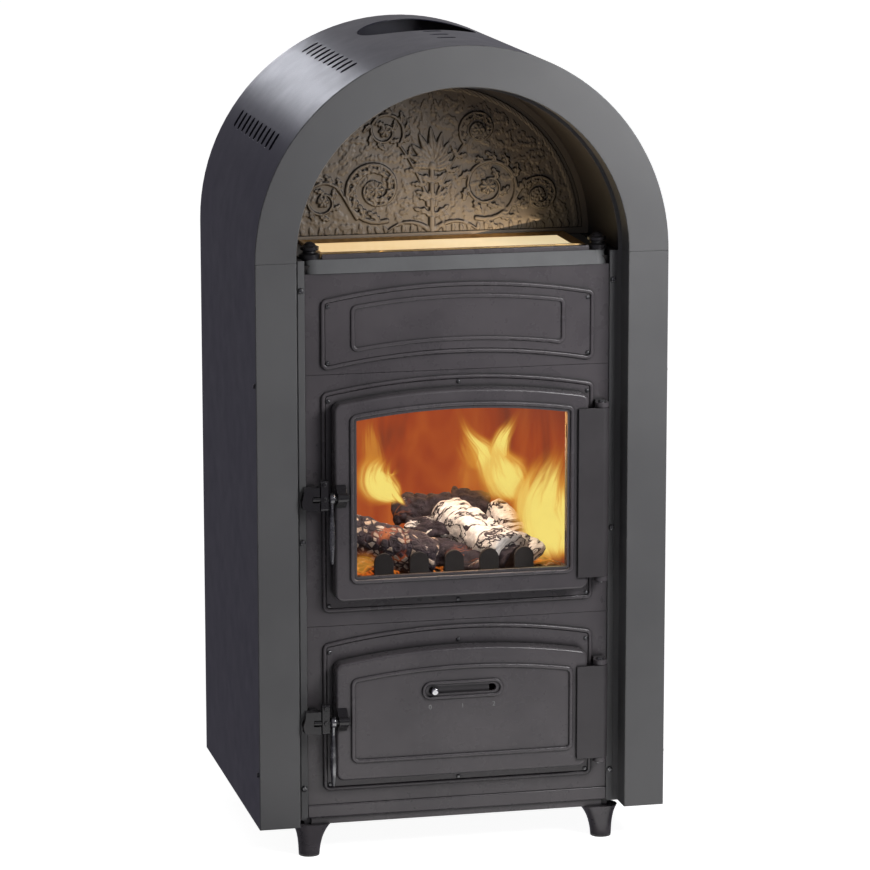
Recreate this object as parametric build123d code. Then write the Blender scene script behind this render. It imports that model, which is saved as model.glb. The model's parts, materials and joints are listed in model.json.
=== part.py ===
from build123d import *
import math
import os

os.makedirs("parts", exist_ok=True)

# A freestanding steel stove: an arched sheet casing round a cast front with two
# hinged doors, a warming niche under the arch and a flue collar below the crown.
# X runs across the front, Y runs from front to back, Z runs up from the floor.
# Depths are counted from the face of the front frame, in millimetres.

# Casing and front frame
casing_width = 600.0
casing_depth = 456.0
ground_gap = 55.0
spring_rise = 3.0
casing_sheet = 1.5
frame_sheet = 2.0
frame_face = 59.0
frame_return = 20.0
frame_flange = 16.0
frame_recess = 38.0
seam_gap = 0.4
fit_gap = 0.3
rear_recess = 4.0
rear_flange = 15.0

# Air slots and flue cut-out in the casing
slot_length = 28.0
slot_width = 13.0
slot_pitch = 31.4
slot_count = 10
slot_start = 95.0
slot_tilts = (29.0, 57.8)
crown_slot_pitch = 46.0
crown_slot_count = 3
crown_slot_start = 111.0
flue_back_margin = 95.0
flue_cutout_radius = 88.0

# Cast front, heights of its rows of plates from the plinth up
plate_side_gap = 2.5
plate_thick = 6.0
plate_gap = 0.6
plinth_top = 22.0
ash_plate_height = 265.0
fire_plate_height = 367.0
upper_plate_height = 145.0
crown_radius = 1040.0
bead_side_margin = 22.5
bead_width = 6.0
bead_height = 4.0
bead_corner = 10.0
bead_low_margin = 20.5
bead_high_margin = 7.0
upper_bead_drop = 18.0
upper_bead_rise = 24.5
inset_thick = 2.5
inset_gap = 0.5
upper_bead_inner_margin = 43.0
upper_bead_inner_low = 18.0
upper_bead_inner_high = 17.0
inner_bead_height = 2.5

# Strips and screws
strip_width = 10.0
strip_thick = 2.0
strip_low = 3.0
strip_screw_low = 48.0
strip_screw_high_margin = 42.0
strip_screw_head = 4.5
panel_screw_head = 3.0
panel_screw_shank = 1.6
screw_inset = 9.7
screw_drop = 12.0
fire_mid_drop = 10.0
ash_mid_drop = 22.0
screw_clearance = 0.2
sheet_screw_head = 3.6
sheet_screw_shank = 1.8
side_screw_heights = (80.0, 647.0)
side_screw_depth = 11.0

# Body walls and chamber
wall_thick = 8.0
wall_gap = 1.5
wall_ledge = 24.0
wall_ledge_thick = 6.0
body_back_gap = 56.0
ash_floor_step = 0.5
floor_thick = 6.0
deck_rise = 21.0
deck_thick = 8.0
deck_opening_width = 220.0
deck_opening_depth = 170.0
grate_lap = 8.0
grate_thick = 12.0
grate_bars = 9
grate_bar_gap = 12.0
grate_depth = 205.0
brick_thick = 25.0
brick_height = 282.0
baffle_thick = 12.0
baffle_front_gap = 62.0
guard_depth = 60.0
guard_thick = 6.0
guard_side_gap = 33.7
guard_bar_height = 44.0
guard_tooth_height = 32.0
guard_tooth_width = 28.0
guard_tooth_pitch = 52.0
guard_tooth_count = 5
spacer_radius = 8.0
spacer_bore = 2.2
spacer_x = 180.0
spacer_heights = (110.0, 700.0)

# Plinth and feet
plinth_side_gap = 0.5
plinth_lip = 2.5
plinth_skirt = 8.0
plinth_skirt_inset = 5.0
plinth_bar = 34.0
foot_side_inset = 17.0
foot_top_width = 56.0
foot_base_radius = 15.0
foot_lean = 4.0
foot_front_depth = 51.0
foot_rear_inset = 22.0

# Top plate, niche and flue collar
top_plate_height = 19.0
top_plate_thick = 8.0
top_overhang = 2.0
top_slope = 10.0
top_corner = 18.0
niche_step = 5.0
liner_sheet = 1.5
relief_back_gap = 5.0
relief_thick = 8.0
relief_rim = 9.0
relief_rim_height = 3.0
warming_side_margin = 38.0
warming_front = 79.0
warming_back_gap = 1.0
warming_rim_height = 5.0
warming_slope = 14.0
warming_rim_top = 3.0
warming_skirt = 3.0
warming_ledge = 2.0
warming_glass_thick = 4.0
warming_glass_raise = 1.0
rail_front = 47.0
rail_depth = 5.0
rail_height = 7.0
knob_side_inset = 12.5
knob_radius = 15.0
knob_height = 24.0
collar_bore = 75.3
collar_wall = 5.0
collar_height = 50.0
collar_flange = 87.0
collar_flange_thick = 6.0
top_flue_radius = 70.0

# Doors, shared sizes
door_side_margin = 14.0
door_low_margin = 41.5
door_thick = 24.0
door_wall = 6.0
door_rim = 14.0
door_corner = 12.0
door_edge_radius = 4.0
door_seat_gap = 2.5
seal_inset = 3.0
seal_width = 8.0
seal_groove = 4.0
seal_seat_gap = 0.3
seal_side_gap = 0.2
door_bead_side = 21.5
door_bead_low = 25.5
door_bead_width = 6.0
door_bead_height = 3.0
door_bead_corner = 11.0

# Fire door
fire_door_high_margin = 23.5
fire_bead_high = 18.0
window_margin = 10.0
glass_lap = 6.0
glass_thick = 4.0
gasket_thick = 1.0
gasket_width = 5.0
clip_low = 78.0
clip_high_margin = 70.0
clip_width = 18.0
clip_thick = 2.0
clip_grip = 6.0
clip_boss_radius = 4.0
clip_screw_radius = 1.6
fire_mouth_margin = 26.0

# Ash door and air slide
ash_door_high_margin = 35.0
ash_bead_high = 25.0
ash_mouth_side = 32.0
ash_mouth_low = 14.0
ash_mouth_high = 28.0
slide_drop = 61.5
slide_bead_length = 120.0
slide_bead_height = 26.5
slide_bead_width = 4.5
slide_slot_length = 100.0
slide_slot_height = 11.0
slide_knob_start = 42.4
slide_travel = 85.0
shutter_height = 28.0
shutter_thick = 2.0
shutter_left = 30.0
shutter_air_gap = 9.0
shutter_gap = 0.3
guide_lip = 4.0
guide_wall = 3.0
air_knob_radius = 5.2
air_knob_length = 9.5
air_stem_radius = 3.0

# Hinges
hinge_side_gap = 21.0
hinge_plate_lap = 16.0
hinge_plate_thick = 4.0
hinge_barrel_radius = 11.0
hinge_pin_radius = 4.0
hinge_pin_clearance = 0.05
hinge_pin_depth = 24.0
hinge_pin_head = 5.5
hinge_pin_head_height = 3.0
hinge_lug_thick = 7.0
hinge_lug_radius = 10.0
hinge_lug_root = 16.0
hinge_lug_gap = 0.4
fire_hinge_low = 18.0
fire_hinge_high_margin = 36.0
ash_hinge_low = 12.0
ash_hinge_high_margin = 38.5

# Latches, the same on both doors
fire_latch_height = 154.5
ash_latch_height = 92.0
latch_stand = 12.0
spindle_radius = 4.0
spindle_clearance = 0.05
spindle_length = 50.0
spindle_cap_radius = 6.0
spindle_cap_length = 2.0
bracket_width = 14.0
bracket_height = 34.0
bracket_boss_radius = 7.0
bracket_inset = 15.0
hook_width = 10.5
hook_side_gap = 13.0
hook_thick = 10.0
hook_rise = 27.0
hook_drop = 17.0
hook_rivet_radius = 3.0
hook_rivet_height = 1.5
handle_side_gap = 7.0
handle_eye_radius = 8.0
handle_eye_width = 8.0
handle_length = 96.0
handle_belly = 4.5
handle_neck = 2.4
keeper_side_gap = 25.0
keeper_width = 26.0
keeper_thick = 14.0
keeper_height = 34.0
keeper_stem_width = 10.0
keeper_stem_height = 24.0
keeper_notch_gap = 0.6

# Ash pan
pan_side_gap = 9.0
pan_height = 73.0
pan_sheet = 1.5
pan_front = 58.0
pan_back_gap = 20.0
pan_floor_gap = 0.4
pan_grip_width = 90.0
pan_grip_radius = 4.0
pan_grip_reach = 9.0

# Places and sizes worked out from the sizes above
casing_radius = casing_width / 2
inner_radius = casing_radius - frame_face
base = ground_gap
plinth_z = base + plinth_top
fire_z = plinth_z + ash_plate_height
upper_z = fire_z + fire_plate_height
cap_z = upper_z + upper_plate_height
top_z = cap_z + top_plate_height
spring = top_z + spring_rise
deck_z = fire_z + deck_rise

plate_width = 2 * (inner_radius - frame_flange - plate_side_gap)
plate_half = plate_width / 2
wall_inner = plate_half + wall_gap
wall_outer = wall_inner + wall_thick
strip_left_edge = plate_half + fit_gap
bead_span = plate_width - 2 * bead_side_margin
plinth_width = plate_width - 2 * plinth_side_gap
foot_x = wall_outer - foot_side_inset
niche_radius = inner_radius - niche_step
warming_width = 2 * (niche_radius - warming_side_margin)
knob_x = plate_half - knob_side_inset
guard_width = 2 * (wall_inner - fit_gap - brick_thick - guard_side_gap)

body_depth = casing_depth - body_back_gap
chamber_back = body_depth - wall_thick
foot_rear_depth = body_depth - foot_rear_inset
flue_depth = body_depth - flue_back_margin
relief_depth = flue_depth - collar_flange - relief_back_gap - relief_thick
warming_back = relief_depth - warming_back_gap
pan_back = chamber_back - pan_back_gap
wall_front = frame_recess + frame_sheet
plate_back = frame_recess + plate_thick
ledge_back = plate_back + wall_ledge_thick
inset_face = frame_recess - inset_thick

door_width = bead_span - 2 * door_side_margin
door_half = door_width / 2
door_back = inset_face - door_seat_gap
door_face = door_back - door_thick
fire_door_z = fire_z + door_low_margin
fire_door_height = fire_plate_height - door_low_margin - fire_door_high_margin
ash_door_z = plinth_z + door_low_margin
ash_door_height = ash_plate_height - door_low_margin - ash_door_high_margin
slide_z = ash_door_z + ash_door_height - slide_drop
ash_floor_z = ash_door_z + ash_mouth_low + ash_floor_step
pan_width = 2 * (door_half - ash_mouth_side - pan_side_gap)
hinge_axis_x = door_half + hinge_side_gap
hinge_plate_left = door_half - hinge_plate_lap
hinge_depth = door_face - hinge_plate_thick + hinge_barrel_radius
fire_hinge_height = fire_door_height - fire_hinge_low - fire_hinge_high_margin
ash_hinge_height = ash_door_height - ash_hinge_low - ash_hinge_high_margin

latch_depth = door_face - latch_stand
bracket_right = door_half - bracket_inset
hook_right = door_half + hook_side_gap
handle_x = door_half + handle_side_gap
keeper_right = door_half + keeper_side_gap
keeper_left = keeper_right + keeper_width
handle_reach = handle_eye_radius - latch_depth
front_y = -(casing_depth - handle_reach) / 2


def facing(depth):
    """A drawing plane that faces the viewer, at a depth behind the front frame."""
    return Plane(origin=(0, front_y + depth, 0), x_dir=(1, 0, 0), z_dir=(0, -1, 0))


def slab(outline, near, far):
    """An outline in X and Z made solid between two depths."""
    return extrude(facing(far) * outline, far - near)


def block(x0, x1, near, far, z0, z1):
    """A box between two sides, two depths and two heights."""
    size = Box(x1 - x0, far - near, z1 - z0)
    return Pos((x0 + x1) / 2, front_y + (near + far) / 2, (z0 + z1) / 2) * size


def rod_y(x, z, radius, near, far):
    """A round bar that runs from front to back."""
    bar = Cylinder(radius, far - near, rotation=(90, 0, 0))
    return Pos(x, front_y + (near + far) / 2, z) * bar


def rod_z(x, depth, radius, z0, z1):
    """An upright round bar."""
    return Pos(x, front_y + depth, (z0 + z1) / 2) * Cylinder(radius, z1 - z0)


def rod_x(depth, z, radius, x0, x1):
    """A round bar that runs across the stove."""
    bar = Cylinder(radius, x1 - x0, rotation=(0, 90, 0))
    return Pos((x0 + x1) / 2, front_y + depth, z) * bar


def both_sides(solid):
    """A solid and its mirror image across the middle of the stove."""
    return solid + mirror(solid, Plane.YZ)


def rectangle(x0, x1, z0, z1):
    return Pos((x0 + x1) / 2, (z0 + z1) / 2) * Rectangle(x1 - x0, z1 - z0)


def crown_fall(half):
    """How far the shallow crown drops from its middle to a distance beside it."""
    return crown_radius - math.sqrt(crown_radius**2 - half**2)


def crowned(half, low, crown, corner, bowed=False):
    """An outline with a shallow crown on top and a flat or an equally bowed foot."""
    side_top = crown - crown_fall(half)
    side_low = low - crown_fall(half) if bowed else low
    top = ThreePointArc((half, side_top), (0, crown), (-half, side_top))
    if bowed:
        foot = ThreePointArc((-half, side_low), (0, low), (half, side_low))
    else:
        foot = Line((-half, side_low), (half, side_low))
    left = Line((-half, side_top), (-half, side_low))
    right = Line((half, side_low), (half, side_top))
    face = make_face([top.edge(), left, foot.edge(), right])
    return fillet(face.vertices(), corner)


def ring(outline, width):
    """A band of even width along the inside of an outline."""
    return outline - offset(outline, -width)


def bead(outline, width, face_depth, height):
    """A raised rounded line along the inside of an outline, standing on a face."""
    raised = slab(ring(outline, width), face_depth - height, face_depth)
    return fillet(raised.edges().group_by(Axis.Y)[0], min(width / 2, height) * 0.8)


def arch(radius, low):
    """Upright sides from a low edge to the spring line, closed by a half circle."""
    foot = Polyline((-radius, spring), (-radius, low), (radius, low), (radius, spring))
    top = ThreePointArc((radius, spring), (0, spring + radius), (-radius, spring))
    return make_face(foot.edges() + [top.edge()])


def lunette(radius, low):
    """The part of a disc about the spring line that lies above a low edge."""
    return Pos(0, spring) * Circle(radius) & rectangle(-radius, radius, low, spring + radius)


def arch_band(outer, inner, low):
    """A band of sheet along the arch, open at its foot."""
    return arch(outer, low) - arch(inner, low - casing_sheet)


def screw(x, z, head, shank, face_depth, length):
    """A round-headed screw seen from the front, its head on a face."""
    dome = rod_y(x, z, head, face_depth - head * 0.6, face_depth)
    dome = fillet(dome.edges().group_by(Axis.Y)[0], head * 0.5)
    return dome + rod_y(x, z, shank, face_depth, face_depth + length)


def holes(places, shank, near, far):
    """Clearance holes from front to back for a list of screws."""
    return [rod_y(x, z, shank + screw_clearance, near, far) for x, z in places]


def dome(rim, top):
    """A round end's profile, from its rim to its top on the axis that it turns about."""
    radius, height = rim
    rise = abs(top - height)
    ball = (radius**2 + rise**2) / (2 * rise)
    turn = math.asin(radius / ball) / 2
    way = math.copysign(1, top - height)
    middle = (ball * math.sin(turn), top - way * ball * (1 - math.cos(turn)))
    return ThreePointArc(rim, middle, (0, top)).edge()


def side_screw(sign, z):
    """A sheet screw at the side of the casing, through the frame's outer return."""
    head = Cylinder(sheet_screw_head, sheet_screw_head * 0.7, rotation=(0, 90, 0))
    head = fillet(head.edges().group_by(Axis.X)[-1], sheet_screw_head * 0.4)
    head = Pos(casing_radius + sheet_screw_head * 0.35, front_y + side_screw_depth, z) * head
    reach = casing_sheet + fit_gap + frame_sheet * 2
    shank = rod_x(side_screw_depth, z, sheet_screw_shank, casing_radius - reach, casing_radius)
    solid = head + shank
    return solid if sign > 0 else mirror(solid, Plane.YZ)


def side_holes():
    """Clearance holes for the sheet screws at both sides of the casing."""
    radius = sheet_screw_shank + screw_clearance
    reach = casing_radius - frame_sheet * 3
    cuts = []
    for height in side_screw_heights:
        cut = rod_x(side_screw_depth, base + height, radius, reach, casing_radius + 1)
        cuts += [cut, mirror(cut, Plane.YZ)]
    return cuts


def air_slot(angle, depth):
    """A cutter for one air slot, long round the arch, at an angle and a depth."""
    turn = math.radians(angle)
    out = Vector(math.cos(turn), 0, math.sin(turn))
    centre = out * (casing_radius - casing_sheet * 4) + Vector(0, front_y + depth, spring)
    place = Plane(origin=centre, x_dir=Vector(0, 0, 0) + out.cross(Vector(0, 1, 0)), z_dir=out)
    return extrude(place * SlotOverall(slot_length, slot_width), casing_sheet * 8)


def casing_wrap():
    near = frame_sheet + seam_gap
    wrap = slab(arch_band(casing_radius, casing_radius - casing_sheet, base), near, casing_depth)
    angles = [90 + side * tilt for tilt in slot_tilts for side in (-1, 1)]
    cuts = [air_slot(a, slot_start + slot_pitch * i) for a in angles for i in range(slot_count)]
    cuts += [
        air_slot(90, crown_slot_start + crown_slot_pitch * i) for i in range(crown_slot_count)
    ]
    cuts.append(rod_z(0, flue_depth, flue_cutout_radius, spring + inner_radius, spring + casing_width))
    return wrap - cuts - side_holes()


def front_frame():
    """The bent frame before it is split into an arch and two legs."""
    nest = casing_radius - casing_sheet - fit_gap
    body = slab(arch_band(casing_radius, inner_radius, base), 0, frame_sheet)
    body = fillet(body.edges().group_by(Axis.Y)[0], frame_sheet * 0.7)
    body += slab(arch_band(nest, nest - frame_sheet, base), frame_sheet, frame_return)
    inner = inner_radius + frame_sheet
    body += slab(arch_band(inner, inner_radius, base), frame_sheet, wall_front)
    legs = arch_band(inner, inner_radius - frame_flange, base) & rectangle(-inner, inner, base, top_z)
    flange = arch_band(inner, niche_radius, base) + legs
    body += slab(flange, frame_recess, wall_front)
    return body - side_holes() - strip_holes(frame_recess, wall_front)


def strip_places():
    """Where the strip screws stand, on the middle of the body's side walls."""
    x = wall_inner + wall_thick / 2
    low = base + strip_screw_low
    high = top_z - strip_screw_high_margin
    return [(side * x, z) for side in (-1, 1) for z in (low, (low + high) / 2, high)]


def strip_holes(near, far):
    return holes(strip_places(), panel_screw_shank, near, far)


def frame_parts(frame):
    reach = casing_radius + 1
    far = wall_front + 1
    above = block(-reach, reach, -1, far, spring + seam_gap / 2, spring + casing_width)
    below = block(-reach, 0, -1, far, base - 1, spring - seam_gap / 2)
    left = frame & below
    return frame & above, left, mirror(left, Plane.YZ)


def retaining_strips():
    near = frame_recess - strip_thick
    top = top_z + seam_gap
    strip = block(strip_left_edge, strip_left_edge + strip_width, near, frame_recess, base + strip_low, top)
    strip = fillet(strip.edges().filter_by(Axis.Z).group_by(Axis.Y)[0], strip_thick * 0.4)
    return both_sides(strip) - strip_holes(near, frame_recess)


def strip_screws():
    near = frame_recess - strip_thick
    length = strip_thick + frame_sheet + wall_thick
    return [screw(x, z, strip_screw_head, panel_screw_shank, near, length) for x, z in strip_places()]


def rear_places():
    return [(side * spacer_x, base + height) for side in (-1, 1) for height in spacer_heights]


def rear_panel():
    back = casing_depth - rear_recess
    nest = casing_radius - casing_sheet - fit_gap
    panel = slab(arch(nest, base), back - casing_sheet, back)
    rim = back - casing_sheet - rear_flange
    panel += slab(arch_band(nest, nest - casing_sheet, base), rim, back - casing_sheet)
    return panel - holes(rear_places(), sheet_screw_shank, back - casing_sheet, back)


def rear_spacers():
    back = casing_depth - rear_recess - casing_sheet
    tubes = []
    for x, z in rear_places():
        tube = rod_y(x, z, spacer_radius, body_depth, back)
        tubes.append(tube - rod_y(x, z, spacer_bore, body_depth, back))
    return tubes


def casing_screws():
    back = casing_depth - rear_recess
    screws = [side_screw(side, base + height) for side in (-1, 1) for height in side_screw_heights]
    for x, z in rear_places():
        head = rod_y(x, z, sheet_screw_head, back, back + sheet_screw_head * 0.7)
        head = fillet(head.edges().group_by(Axis.Y)[-1], sheet_screw_head * 0.4)
        screws.append(head + rod_y(x, z, sheet_screw_shank, back - spacer_radius, back))
    return screws


def side_wall():
    """The right wall with the ledge that the front plates are held to."""
    wall = block(wall_inner, wall_outer, wall_front, body_depth, plinth_z, top_z)
    ledge_top = top_z - top_plate_thick
    wall += block(wall_inner - wall_ledge, wall_inner, plate_back, ledge_back, plinth_z, ledge_top)
    return wall - strip_holes(wall_front, wall_front + plate_thick * 2)


def back_wall():
    half = wall_inner - fit_gap
    return block(-half, half, chamber_back, body_depth, plinth_z, top_z - top_plate_thick)


def chamber_plate(top, thick):
    """A plate that spans the body from the front ledges to the back wall."""
    half = wall_inner - fit_gap
    return block(-half, half, ledge_back + fit_gap, chamber_back - fit_gap, top - thick, top)


def chamber_deck():
    half = deck_opening_width / 2
    depth = deck_opening_depth / 2
    opening = block(-half, half, grate_depth - depth, grate_depth + depth, base, deck_z)
    return chamber_plate(deck_z, deck_thick) - opening


def grate():
    half = deck_opening_width / 2 + grate_lap
    reach = deck_opening_depth / 2 + grate_lap
    top = deck_z + grate_thick
    plate = block(-half, half, grate_depth - reach, grate_depth + reach, deck_z, top)
    pitch = deck_opening_width / grate_bars
    inner = deck_opening_depth / 2 - grate_lap
    slots = []
    for i in range(grate_bars):
        x = (i - (grate_bars - 1) / 2) * pitch
        near = grate_depth - inner
        slots.append(
            block(x - grate_bar_gap / 2, x + grate_bar_gap / 2, near, grate_depth + inner, deck_z, top)
        )
    return plate - slots


def side_bricks():
    outer = wall_inner - fit_gap
    top = deck_z + brick_height
    return both_sides(
        block(outer - brick_thick, outer, ledge_back + fit_gap, chamber_back - fit_gap, deck_z, top)
    )


def rear_brick():
    half = wall_inner - fit_gap * 2 - brick_thick
    near = chamber_back - fit_gap - brick_thick
    return block(-half, half, near, chamber_back - fit_gap, deck_z, deck_z + brick_height)


def baffle():
    half = wall_inner - fit_gap
    low = deck_z + brick_height
    return block(-half, half, ledge_back + baffle_front_gap, chamber_back - fit_gap, low, low + baffle_thick)


def log_guard():
    """A toothed bar that keeps the logs off the glass."""
    half = guard_width / 2
    bar_top = deck_z + guard_bar_height
    outline = rectangle(-half, half, deck_z, bar_top)
    for i in range(guard_tooth_count):
        x = (i - (guard_tooth_count - 1) / 2) * guard_tooth_pitch
        round_top = bar_top + guard_tooth_height - guard_tooth_width / 2
        outline += rectangle(x - guard_tooth_width / 2, x + guard_tooth_width / 2, deck_z, round_top)
        outline += Pos(x, round_top) * Circle(guard_tooth_width / 2)
    return slab(outline, guard_depth, guard_depth + guard_thick)


def plate_bead(low, crown, bowed=False):
    return crowned(bead_span / 2, low, crown, bead_corner, bowed)


def ash_bead():
    return plate_bead(plinth_z + bead_low_margin, fire_z - bead_high_margin)


def fire_bead():
    return plate_bead(fire_z + bead_low_margin, upper_z - bead_high_margin)


def upper_bead():
    return plate_bead(upper_z + upper_bead_rise, cap_z - upper_bead_drop, True)


def ash_places():
    """Panel screws round the ash door, four corners and two in the middle."""
    x = bead_span / 2 - screw_inset
    low = plinth_z + bead_low_margin + screw_inset
    crown = fire_z - bead_high_margin
    high = crown - crown_fall(bead_span / 2) - screw_drop
    return [(-x, low), (x, low), (-x, high), (x, high), (0, low), (0, crown - ash_mid_drop)]


def fire_places():
    """Panel screws round the fire door, four corners and two in the middle."""
    x = bead_span / 2 - screw_inset
    low = fire_z + bead_low_margin + screw_inset
    crown = upper_z - bead_high_margin
    high = crown - crown_fall(bead_span / 2) - screw_drop
    return [(-x, low), (x, low), (-x, high), (x, high), (0, low), (0, crown - fire_mid_drop)]


def upper_places():
    """Panel screws in the corners of the upper inset."""
    x = bead_span / 2 - screw_inset
    fall = crown_fall(bead_span / 2)
    low = upper_z + upper_bead_rise - fall + screw_drop
    high = cap_z - upper_bead_drop - fall - screw_inset
    return [(-x, low), (x, low), (-x, high), (x, high)]


def fire_mouth():
    return offset(fire_door_outline(), -fire_mouth_margin)


def ash_mouth():
    half = door_half - ash_mouth_side
    low = ash_door_z + ash_mouth_low
    high = ash_door_z + ash_door_height - ash_mouth_high
    return crowned(half, low, high, door_corner)


def front_plate(low, high, outline, places, mouth=None):
    """One cast plate of the front, its raised bead and its opening."""
    gap = plate_gap / 2
    plate = slab(rectangle(-plate_half, plate_half, low + gap, high - gap), frame_recess, plate_back)
    plate += bead(outline, bead_width, frame_recess, bead_height)
    if mouth:
        plate -= slab(mouth, frame_recess - bead_height, plate_back)
    return plate - holes(places, panel_screw_shank, frame_recess, plate_back)


def inset(outline, places, mouth=None):
    """The thin panel that fills a bead and carries the screws."""
    panel = slab(offset(outline, -bead_width - inset_gap), inset_face, frame_recess)
    if mouth:
        panel -= slab(mouth, inset_face, frame_recess)
    return panel - holes(places, panel_screw_shank, inset_face, frame_recess)


def upper_inset():
    half = bead_span / 2 - upper_bead_inner_margin
    low = upper_z + upper_bead_rise + upper_bead_inner_low
    high = cap_z - upper_bead_drop - upper_bead_inner_high
    inner = crowned(half, low, high, bead_corner, True)
    return inset(upper_bead(), upper_places()) + bead(inner, bead_width, inset_face, inner_bead_height)


def panel_screws():
    places = ash_places() + fire_places() + upper_places()
    length = inset_thick + plate_thick
    return [screw(x, z, panel_screw_head, panel_screw_shank, inset_face, length) for x, z in places]


def plinth():
    """The cast base frame: an upper lip and a skirt set back below it."""
    half = plinth_width / 2
    lip = base + plinth_lip
    foot = base - plinth_skirt
    near = frame_recess - top_overhang
    frame = block(-half, half, near, wall_front, lip, plinth_z)
    frame = fillet(frame.edges().filter_by(Axis.X).group_by(Axis.Y)[0], plinth_lip)
    frame += block(-wall_outer, wall_outer, wall_front, body_depth, lip, plinth_z)
    step = plinth_skirt_inset
    skirt = wall_outer - step
    frame += block(step - half, half - step, near + step, wall_front + step, foot, lip)
    frame += block(-skirt, skirt, wall_front + step, body_depth - step, foot, lip)
    inner = wall_outer - plinth_bar
    return frame - block(-inner, inner, near + plinth_bar, body_depth - plinth_bar, foot, plinth_z)


def foot(side, depth):
    """A tapered foot, wide under the plinth and round at the floor."""
    top_z_here = base - plinth_skirt
    centre = side * foot_x
    tip = side * (foot_x + foot_lean)
    y = front_y + depth
    wide = foot_top_width / 2
    levels = (
        (0, centre, wide, foot_base_radius * 1.2),
        (0.25, centre * 0.6 + tip * 0.4, wide * 0.76, foot_base_radius * 1.1),
        (0.6, centre * 0.2 + tip * 0.8, wide * 0.6, foot_base_radius * 1.04),
        (1, tip, foot_base_radius, foot_base_radius),
    )
    faces = []
    for share, x, half, round_half in levels:
        outline = RectangleRounded(half * 2, round_half * 2, min(half, round_half) * 0.95)
        faces.append(Plane.XY.offset(top_z_here * (1 - share)) * Pos(x, y) * outline)
    return loft(faces[::-1])


def feet():
    return [foot(side, depth) for side in (-1, 1) for depth in (foot_front_depth, foot_rear_depth)]


def top_plan(slope):
    """The top plate's plan with rounded front corners, its front moved back by a slope."""
    near = frame_recess - top_overhang + slope
    plan = Pos(0, front_y + (near + body_depth) / 2) * Rectangle(plate_width, body_depth - near)
    return fillet(plan.vertices().group_by(Axis.Y)[0], top_corner)


def top_plate():
    """The plate under the niche, its front band sloped back, with the flue hole."""
    plate = loft([Plane.XY.offset(cap_z) * top_plan(0), Plane.XY.offset(top_z) * top_plan(top_slope)])
    under = top_z - top_plate_thick
    plate -= block(-plate_half, plate_half, plate_back, body_depth, cap_z, under)
    plate -= rod_z(0, flue_depth, top_flue_radius, cap_z, top_z)
    return plate - warming_block(warming_slope - warming_skirt - fit_gap, cap_z, top_z)


def flue_collar():
    """A flanged collar that a flue pipe drops into through the casing."""
    tube = rod_z(0, flue_depth, collar_bore + collar_wall, top_z, top_z + collar_height)
    flange = rod_z(0, flue_depth, collar_flange, top_z, top_z + collar_flange_thick)
    rim = chamfer((tube + flange).edges().group_by(Axis.Z)[-1], collar_wall * 0.3)
    return rim - rod_z(0, flue_depth, collar_bore, top_z, top_z + collar_height)


def niche_liner():
    near = wall_front + seam_gap
    back = relief_depth + relief_thick
    outer = niche_radius + liner_sheet
    shell = slab(arch_band(outer, niche_radius, top_z), near, back)
    return shell + slab(arch_band(inner_radius - seam_gap, niche_radius, top_z), near, near + liner_sheet)


def relief_plate():
    """The arched cast plate at the back of the niche, with a raised rim."""
    radius = niche_radius - fit_gap
    low = top_z + fit_gap
    face = relief_depth + relief_rim_height
    outline = lunette(radius, low)
    rim = outline - lunette(radius - relief_rim, low + relief_rim)
    return slab(outline, face, relief_depth + relief_thick) + slab(rim, relief_depth, face)


def warming_block(margin, low, high):
    """A box inside the warming frame's outer edge by a margin, between two heights."""
    half = warming_width / 2 - margin
    return block(-half, half, warming_front + margin, warming_back - margin, low, high)


def warming_frame():
    """The brass frame of the warming plate, which hangs in the top plate's opening."""
    rim = top_z + warming_rim_height
    glass_top = top_z + warming_glass_raise
    glass_low = glass_top - warming_glass_thick
    seat = warming_slope - fit_gap
    frame = warming_block(0, top_z, rim)
    frame = fillet(frame.edges().group_by(Axis.Z)[-1], warming_rim_top * 0.3)
    frame += warming_block(warming_slope - warming_skirt, glass_low - warming_ledge, top_z)
    outlines = []
    for z, margin in ((glass_top, seat), (rim, warming_rim_top)):
        size = Rectangle(warming_width - margin * 2, warming_back - warming_front - margin * 2)
        middle = front_y + (warming_front + warming_back) / 2
        outlines.append(Plane.XY.offset(z) * Pos(0, middle) * size)
    frame -= loft(outlines)
    frame -= warming_block(seat, glass_low, glass_top)
    return frame - warming_block(warming_slope + warming_ledge * 2, glass_low - warming_ledge, glass_low)


def warming_glass():
    top = top_z + warming_glass_raise
    return warming_block(warming_slope, top - warming_glass_thick, top)


def front_rail():
    """The low rail between the corner knobs."""
    half = knob_x - knob_radius - fit_gap
    rail = block(-half, half, rail_front, rail_front + rail_depth, top_z, top_z + rail_height)
    return fillet(rail.edges().filter_by(Axis.X).group_by(Axis.Z)[-1], rail_depth * 0.3)


def corner_knobs():
    """Two turned stepped knobs on the front corners of the top plate."""
    r, h = knob_radius, knob_height
    steps = Polyline(
        (0, h),
        (0, 0),
        (r, 0),
        (r, h * 0.26),
        (r * 0.66, h * 0.36),
        (r * 0.66, h * 0.46),
        (r * 0.88, h * 0.54),
        (r * 0.88, h * 0.7),
        (r * 0.6, h * 0.78),
    )
    knob = revolve(Plane.XZ * make_face(steps.edges() + [dome((r * 0.6, h * 0.78), h)]), Axis.Z)
    return both_sides(Pos(knob_x, front_y + rail_front + knob_radius, top_z) * knob)


def door_outline(low, height):
    return crowned(door_half, low, low + height, door_corner)


def fire_door_outline():
    return door_outline(fire_door_z, fire_door_height)


def ash_door_outline():
    return door_outline(ash_door_z, ash_door_height)


def door_bead(low, crown):
    return crowned(door_half - door_bead_side, low, crown, door_bead_corner)


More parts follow.
